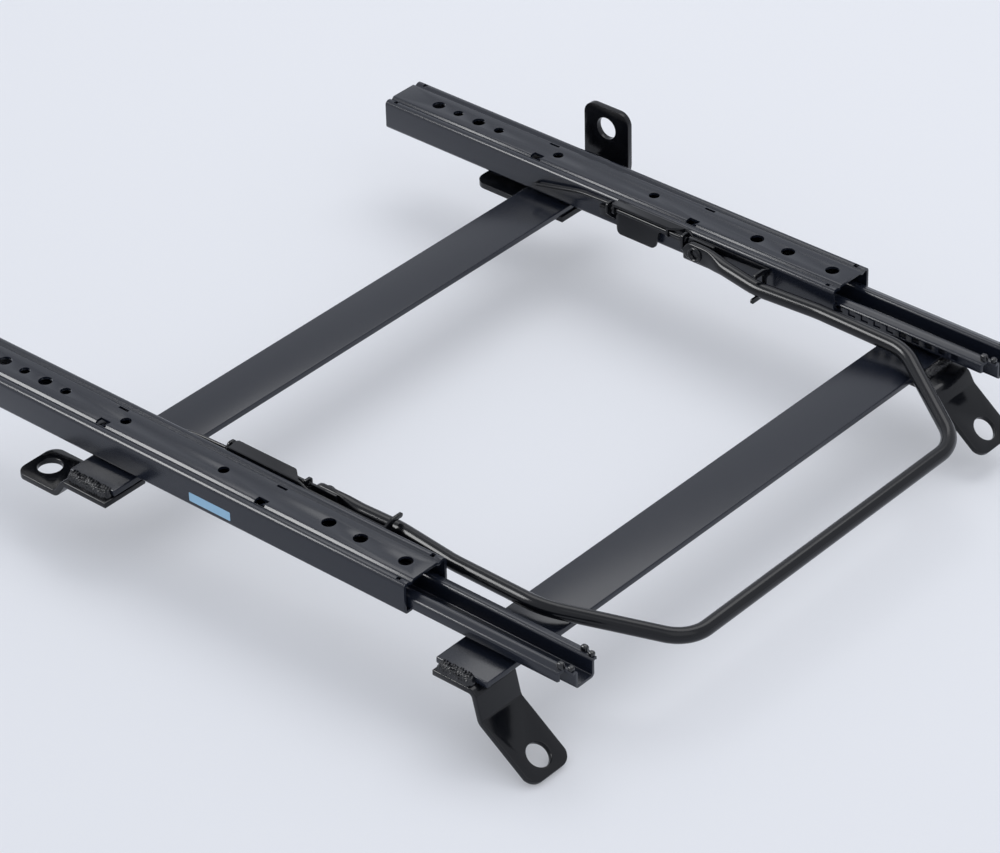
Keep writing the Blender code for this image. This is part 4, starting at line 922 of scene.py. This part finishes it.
def lever_bracket(side):
    """The ear that holds the rear end of the lever's pin, with its foot on the rail."""
    sign = SIDES[side]
    against = sign * (RAIL_Y - UPPER_HALF - 0.3)
    front = LEVER_REAR - 2.2
    ear = round_loop([(against, EAR_LOW), (against, EAR_TOP - 5.4),
                      (against - sign * 3.6, EAR_TOP), (sign * EAR_EDGE, EAR_TOP),
                      (sign * EAR_EDGE, AXIS_Z - 4)], [0, 1, 2, 2, 2])
    bracket = extruded("pin_ear_" + side, ear, (front - EAR_SHEET, front), FRONT)
    foot = box_between("foot", (front - 13, against - sign * EAR_SHEET, EAR_LOW),
                       (front - EAR_SHEET / 2, against, EAR_LOW + 8))
    combined(bracket, "UNION", foot)
    combined(bracket, "DIFFERENCE", rod("pin_hole", (front, sign * AXIS_Y, AXIS_Z), "x",
                                        PIN_HOLE, 8, 24))
    rounded(bracket, EAR_ROUND * MM, 2)
    return dress(bracket, bracket_paint(), "black_paint", "seat_slide_" + side,
                 "lever_bracket_" + side)


def pivot_bracket(side):
    """The bent bracket under the handle's pressed end, with the lever's front ear."""
    sign = SIDES[side]
    against = RAIL_Y - UPPER_HALF - 0.3
    path = round_path(sided([(BRACKET_WALL, BRACKET_Z[1]), (BRACKET_WALL, BRACKET_Z[0]),
                             (against, BRACKET_Z[0]), (against, BRACKET_FOOT)], sign),
                      [BEND, BEND])
    bracket = bent_sheet("handle_bracket_" + side, path, sign * 1.8, BRACKET_X, FRONT)
    notch = box_between("notch", (BRACKET_X[0] - 1.8, sign * (BRACKET_WALL - 1.8), SHOULDER),
                        (BRACKET_X[0] + 4.4, sign * (BRACKET_WALL + 2.7), BRACKET_Z[1] + 1.8))
    combined(bracket, "DIFFERENCE", notch)
    ear = round_loop(sided([(EAR_EDGE, EAR_TOP), (EAR_EDGE, SHOULDER - 1.8),
                            (BRACKET_WALL + 0.9, SHOULDER - 5.4), (EAR_OUTER, SHOULDER - 5.4),
                            (EAR_OUTER, EAR_TOP)], sign), [2, 1, 0, 0, 1])
    combined(bracket, "UNION", extruded("ear", ear, (BRACKET_X[0], BRACKET_X[0] + EAR_SHEET),
                                        FRONT))
    pivot_x, pivot_z = HANDLE_PIVOT
    cuts = [rod("pin_hole", (BRACKET_X[0], sign * AXIS_Y, AXIS_Z), "x", PIN_HOLE, 7.2, 24),
            rod("stud_hole", (pivot_x, sign * (BRACKET_WALL + 0.9), pivot_z), "y", STUD_HOLE, 3.6)]
    combined(bracket, "DIFFERENCE", merged("bracket_cuts", cuts))
    rounded(bracket, EAR_ROUND * MM, 2)
    return dress(bracket, bracket_paint(), "black_paint", "seat_slide_" + side,
                 "pivot_bracket_" + side)


# Handle, its studs and the spring wires

HANDLE_PIVOT = (280.0, -8.0)
HANDLE_END = 270.0
HANDLE_RINGS = 460
STUD_HOLE = 4.0
HANDLE_END_Y = 176.0
TUBE_RADIUS = 5.0
FLAT_THICK = 2.5
FLAT_TALL = 6.5
FLAT_UNTIL = 288.0
ROUND_FROM = 306.0
HANDLE_POINTS = ((332.8, 170.8, -11.5), (378.7, 175.0, -12.3), (447.5, 174.8, -13.4),
                 (519.8, 129.1, -28.5))
HANDLE_BENDS = (60.0, 60.0, 60.0, 40.0, 28.0)
WIRE_Y = 182.4
SPRING = ((137.0, -12.8), (176.0, -4.3), (202.4, -3.4))


def handle_path():
    """The handle's centre line from one pressed end round to the other, evenly stepped."""
    half = [(HANDLE_END, HANDLE_END_Y, HANDLE_PIVOT[1]),
            (FLAT_UNTIL, HANDLE_END_Y, HANDLE_PIVOT[1]), *HANDLE_POINTS,
            (HANDLE_POINTS[-1][0], 0.0, HANDLE_POINTS[-1][2])]
    right = round_path(half, HANDLE_BENDS, 3.0)
    whole = np.concatenate([right * np.array([1, -1, 1]), right[:-1][::-1]])
    step = np.linalg.norm(np.diff(whole, axis=0), axis=1)
    reach = np.concatenate([[0], np.cumsum(step)])
    keep = np.concatenate([[True], step > 1e-6])
    even = np.linspace(0, reach[-1], HANDLE_RINGS)
    return np.stack([np.interp(even, reach[keep], whole[keep, axis]) for axis in range(3)], 1)


def release_handle():
    """The bent tube; near its ends each ring is pressed flat and the ends are rounded off."""
    path = handle_path()
    share = np.clip((ROUND_FROM - path[:, 0]) / (ROUND_FROM - FLAT_UNTIL), 0, 1)
    share = share * share * (3 - 2 * share)
    back = np.clip((HANDLE_END + FLAT_TALL - path[:, 0]) / FLAT_TALL, 0, 1)
    nose = np.sqrt(np.clip(1 - back ** 2, 0.06, 1))
    across = TUBE_RADIUS + share * (FLAT_THICK - TUBE_RADIUS)
    up = (TUBE_RADIUS + share * (FLAT_TALL - TUBE_RADIUS)) * nose
    handle = tube("handle_tube", path, across, up, 32, 2.0 + 2.5 * share)
    x, z = HANDLE_PIVOT
    holes = [rod("hole", (x, sign * HANDLE_END_Y, z), "y", STUD_HOLE, 20)
             for sign in SIDES.values()]
    combined(handle, "DIFFERENCE", merged("handle_holes", holes))
    smooth(handle, 40)
    return dress(handle, tube_paint(), "black_paint", "handle", "release_handle")


def pivot_stud(side):
    """The shouldered stud with a hollow riveted head on the handle's inboard face."""
    sign = SIDES[side]
    low, high = node_span("pivot_stud_" + side, 1)
    inner = low if sign > 0 else high
    length = high - low
    profile = [(0, 2.4), (2.6, 2.3), (3.2, 1.0), (3.7, 0.3), (4.3, 0.0), (5.0, 0.25), (5.4, 0.9),
               (5.5, 1.4), (3.7, 1.4), (3.7, length - 0.2), (3.4, length), (0, length)]
    profile = [(radius, sign * height) for radius, height in profile]
    x, z = HANDLE_PIVOT
    stud = turned("stud_" + side, profile, (x, inner, z), "y")
    smooth(stud, 40)
    return dress(stud, bracket_paint(), "black_paint", "seat_slide_" + side,
                 "pivot_stud_" + side)


def return_spring(side):
    """The spring wire: hooked into the rail's side and bent up to the latch."""
    sign = SIDES[side]
    seat = RAIL_Y - UPPER_HALF - 0.3
    points = [(SPRING[0][0], sign * seat, SPRING[0][1])]
    points += [(x, sign * WIRE_Y, z) for x, z in SPRING]
    path = round_path(points, [1.4, 60.0], 6.0)
    radius = sizes().wire_radius / MM
    wire = tube("spring_wire_" + side, path, radius, radius, 16)
    smooth(wire, 50)
    return dress(wire, tube_paint(), "black_paint", "seat_slide_" + side,
                 "return_spring_" + side)


# Label

LABEL_X = (209.5, 243.5)
LABEL_Z = (-17.6, -11.4)


def label_strip():
    """A thin plain strip on the right rail's outer side."""
    wall = -(RAIL_Y + UPPER_HALF)
    outline = round_loop([(LABEL_X[0], LABEL_Z[0]), (LABEL_X[1], LABEL_Z[0]),
                          (LABEL_X[1], LABEL_Z[1]), (LABEL_X[0], LABEL_Z[1])], [0.6] * 4)
    strip = extruded("label_strip", outline, (wall - 0.12, wall - 0.01), SIDE)
    smooth(strip, 30)
    return dress(strip, label_film(), "charcoal_paint", "seat_slide_right")


# Stage

CAMERA_PLACE = (1773.8, -1699.8, 1484.5)
CAMERA_TURN = (41.644, 34.151, -1.394)
FOCAL_SHARE = 4.3599
SENSOR = 36.0
FLOOR_GLOW = 0.28
FLOOR_HALF = 5.0
FLOOR_DROP = 0.0005
SKY = (0.80, 0.83, 0.90)
SKY_STRENGTH = 0.86
# Name, place and size in metres, power in watts, and whether it lights matt surfaces
LAMPS = (("key", (-0.3, 1.0, 2.2), (2.0, 1.4), 17.0, True),
         ("fill", (1.6, -0.4, 1.7), (1.6, 1.6), 4.0, True),
         ("edge", (-1.05, -1.0, 1.2), (1.1, 0.8), 30.0, False))


def camera_rows():
    """Right, up and back of the camera from its turn round Z, its height angle and roll."""
    turn, rise, roll = (math.radians(value) for value in CAMERA_TURN)
    back = np.array([math.sin(turn) * math.cos(rise), -math.cos(turn) * math.cos(rise),
                     math.sin(rise)])
    right = np.cross([0, 0, 1.0], back)
    right /= np.linalg.norm(right)
    up = np.cross(back, right)
    return (math.cos(roll) * right + math.sin(roll) * up,
            -math.sin(roll) * right + math.cos(roll) * up, back)


def add_camera():
    camera = bpy.data.cameras.new("camera")
    camera.sensor_width = SENSOR
    camera.sensor_fit = "HORIZONTAL"
    camera.lens = SENSOR * FOCAL_SHARE
    camera.clip_end = 20.0
    holder = bpy.data.objects.new("camera", camera)
    bpy.context.scene.collection.objects.link(holder)
    turn = Matrix(np.column_stack(camera_rows()).tolist()).to_4x4()
    holder.matrix_world = Matrix.Translation(rail_to_world(CAMERA_PLACE)) @ turn
    bpy.context.scene.camera = holder


def area_light(name, place, size, power, matt):
    """A soft box turned to the origin."""
    light = bpy.data.lights.new(name, "AREA")
    light.shape = "RECTANGLE"
    light.size, light.size_y = size
    light.energy = power
    holder = bpy.data.objects.new(name, light)
    bpy.context.scene.collection.objects.link(holder)
    holder.location = place
    holder.rotation_euler = (-Vector(place)).to_track_quat("-Z", "Y").to_euler()
    holder.visible_diffuse = matt


def floor_material():
    """Pale studio paper with a very soft clouding of tone."""
    material, tree, shader, place = principled("studio_floor")
    cloud = noise(tree, place, 0.8, 2.0)
    mix = tree.nodes.new("ShaderNodeMix")
    mix.data_type = "RGBA"
    tone = tuple(colours().floor)
    mix.inputs[6].default_value = (*[value * 0.985 for value in tone], 1.0)
    mix.inputs[7].default_value = (*tone, 1.0)
    tree.links.new(cloud, mix.inputs["Factor"])
    tree.links.new(mix.outputs[2], shader.inputs["Base Color"])
    shader.inputs["Roughness"].default_value = 0.9
    shader.inputs["Specular IOR Level"].default_value = 0.1
    glow = tree.nodes.new("ShaderNodeEmission")
    glow.inputs["Color"].default_value = (*tone, 1.0)
    seen = tree.nodes.new("ShaderNodeLightPath").outputs["Is Camera Ray"]
    blend = tree.nodes.new("ShaderNodeMixShader")
    tree.links.new(spread(tree, seen, 0.0, FLOOR_GLOW), blend.inputs["Fac"])
    tree.links.new(shader.outputs["BSDF"], blend.inputs[1])
    tree.links.new(glow.outputs["Emission"], blend.inputs[2])
    tree.links.new(blend.outputs["Shader"], tree.nodes["Material Output"].inputs["Surface"])
    return material


def add_floor():
    mesh = bpy.data.meshes.new("floor")
    corners = ((-1, -1), (1, -1), (1, 1), (-1, 1))
    mesh.from_pydata([(x * FLOOR_HALF, y * FLOOR_HALF, -FLOOR_DROP) for x, y in corners], [],
                     [(0, 1, 2, 3)])
    floor = new_piece("floor", mesh)
    mesh.materials.append(floor_material())


def add_world():
    """A pale even sky that also closes the view behind the floor."""
    world = bpy.data.worlds.new("studio")
    world.use_nodes = True
    tree = world.node_tree
    back = tree.nodes["Background"]
    back.inputs["Color"].default_value = (*SKY, 1.0)
    back.inputs["Strength"].default_value = SKY_STRENGTH
    seen = tree.nodes.new("ShaderNodeBackground")
    seen.inputs["Color"].default_value = (*colours().floor, 1.0)
    path = tree.nodes.new("ShaderNodeLightPath")
    mix = tree.nodes.new("ShaderNodeMixShader")
    tree.links.new(path.outputs["Is Camera Ray"], mix.inputs["Fac"])
    tree.links.new(back.outputs["Background"], mix.inputs[1])
    tree.links.new(seen.outputs["Background"], mix.inputs[2])
    tree.links.new(mix.outputs["Shader"], tree.nodes["World Output"].inputs["Surface"])
    bpy.context.scene.world = world


# Operators

class SEATRAIL_OT_rails(bpy.types.Operator):
    """Builds the upper and lower rails with their lances and stops"""
    bl_idname = "seat_rail.rails"
    bl_label = "Rails"

    def execute(self, context):
        for side in SIDES:
            upper_rail(side)
            lance_tongues(side)
            lower_rail(side)
            stop_tabs(side)
        return {"FINISHED"}


class SEATRAIL_OT_bars(bpy.types.Operator):
    """Builds the two crossbars"""
    bl_idname = "seat_rail.bars"
    bl_label = "Crossbars"

    def execute(self, context):
        crossbar("bar_rear", "crossbar_rear", REAR_BAR)
        crossbar("bar_front", "crossbar_front", FRONT_BAR)
        return {"FINISHED"}


class SEATRAIL_OT_brackets(bpy.types.Operator):
    """Builds the four floor brackets"""
    bl_idname = "seat_rail.brackets"
    bl_label = "Floor brackets"

    def execute(self, context):
        for name in BRACKETS:
            strip_bracket(name)
        upright_bracket("bracket_rear_left")
        return {"FINISHED"}


class SEATRAIL_OT_welds(bpy.types.Operator):
    """Lays the weld beads at the bars' ends"""
    bl_idname = "seat_rail.welds"
    bl_label = "Welds"

    def execute(self, context):
        for name in ("weld_rear_right", "weld_front_right", "weld_rear_left",
                     "weld_front_left"):
            spans = [node_span(name, axis) for axis in range(3)]
            axis = 1 if name == "weld_front_left" else 0
            side = 1 if spans[1][0] > 0 else 0
            start = [FRONT_BAR[1], BAR_Y[side], BASE_TOP]
            end = list(start)
            start[axis] = spans[axis][0] - WELD_PAST
            end[axis] = spans[axis][1] + WELD_PAST
            out = (1, 0, 0) if axis else (0, (-1, 1)[side], 0)
            weld_bead(name, start, end, out, WELD_LOW if axis else WELD_HIGH)
        return {"FINISHED"}


class SEATRAIL_OT_latches(bpy.types.Operator):
    """Builds the lock levers, their pins, ears and brackets"""
    bl_idname = "seat_rail.latches"
    bl_label = "Latches"

    def execute(self, context):
        for side in SIDES:
            lock_lever(side)
            lever_pin(side)
            lever_bracket(side)
            pivot_bracket(side)
        return {"FINISHED"}


class SEATRAIL_OT_handle(bpy.types.Operator):
    """Builds the release handle, its studs and the return springs"""
    bl_idname = "seat_rail.handle"
    bl_label = "Handle"

    def execute(self, context):
        release_handle()
        for side in SIDES:
            pivot_stud(side)
            return_spring(side)
        return {"FINISHED"}


class SEATRAIL_OT_carriages(bpy.types.Operator):
    """Gives the balls, cages, retainers and rollers their steel"""
    bl_idname = "seat_rail.carriages"
    bl_label = "Carriages"

    def execute(self, context):
        for name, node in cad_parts.items():
            if "cage" in name or "roller" in name:
                node.data.materials.clear()
                node.data.materials.append(bare_steel())
        return {"FINISHED"}


class SEATRAIL_OT_label(bpy.types.Operator):
    """Lays the plain strip on the right rail"""
    bl_idname = "seat_rail.label"
    bl_label = "Label"

    def execute(self, context):
        label_strip()
        return {"FINISHED"}


class SEATRAIL_OT_stage(bpy.types.Operator):
    """Sets up the floor, lights, world and camera"""
    bl_idname = "seat_rail.stage"
    bl_label = "Stage"

    def execute(self, context):
        context.scene.view_settings.view_transform = "Standard"
        add_camera()
        add_floor()
        add_world()
        for lamp in LAMPS:
            area_light(*lamp)
        return {"FINISHED"}


class SEATRAIL_PT_panel(bpy.types.Panel):
    """Lists the seat rail's sizes, colours and builders"""
    bl_idname = "SEATRAIL_PT_panel"
    bl_label = "Seat Rail"
    bl_space_type = "VIEW_3D"
    bl_region_type = "UI"
    bl_category = "Seat Rail"

    def draw(self, context):
        for group in (context.scene.seat_rail_sizes, context.scene.seat_rail_colours):
            for label in group.__annotations__:
                self.layout.prop(group, label)
        for builder in BUILDERS:
            self.layout.operator(builder.bl_idname)


BUILDERS = (SEATRAIL_OT_rails, SEATRAIL_OT_bars, SEATRAIL_OT_brackets, SEATRAIL_OT_welds,
            SEATRAIL_OT_latches, SEATRAIL_OT_handle, SEATRAIL_OT_carriages,
            SEATRAIL_OT_label, SEATRAIL_OT_stage)
CLASSES = (SEATRAIL_PG_sizes, SEATRAIL_PG_colours, *BUILDERS, SEATRAIL_PT_panel)


def register():
    for item in CLASSES:
        bpy.utils.register_class(item)
    bpy.types.Scene.seat_rail_sizes = bpy.props.PointerProperty(type=SEATRAIL_PG_sizes)
    bpy.types.Scene.seat_rail_colours = bpy.props.PointerProperty(type=SEATRAIL_PG_colours)


def unregister():
    del bpy.types.Scene.seat_rail_colours
    del bpy.types.Scene.seat_rail_sizes
    for item in reversed(CLASSES):
        bpy.utils.unregister_class(item)


def main():
    register()
    bpy.ops.seat_rail.rails()
    bpy.ops.seat_rail.bars()
    bpy.ops.seat_rail.brackets()
    bpy.ops.seat_rail.welds()
    bpy.ops.seat_rail.latches()
    bpy.ops.seat_rail.handle()
    bpy.ops.seat_rail.carriages()
    bpy.ops.seat_rail.label()
    bpy.ops.seat_rail.stage()


if __name__ == "__main__":
    main()
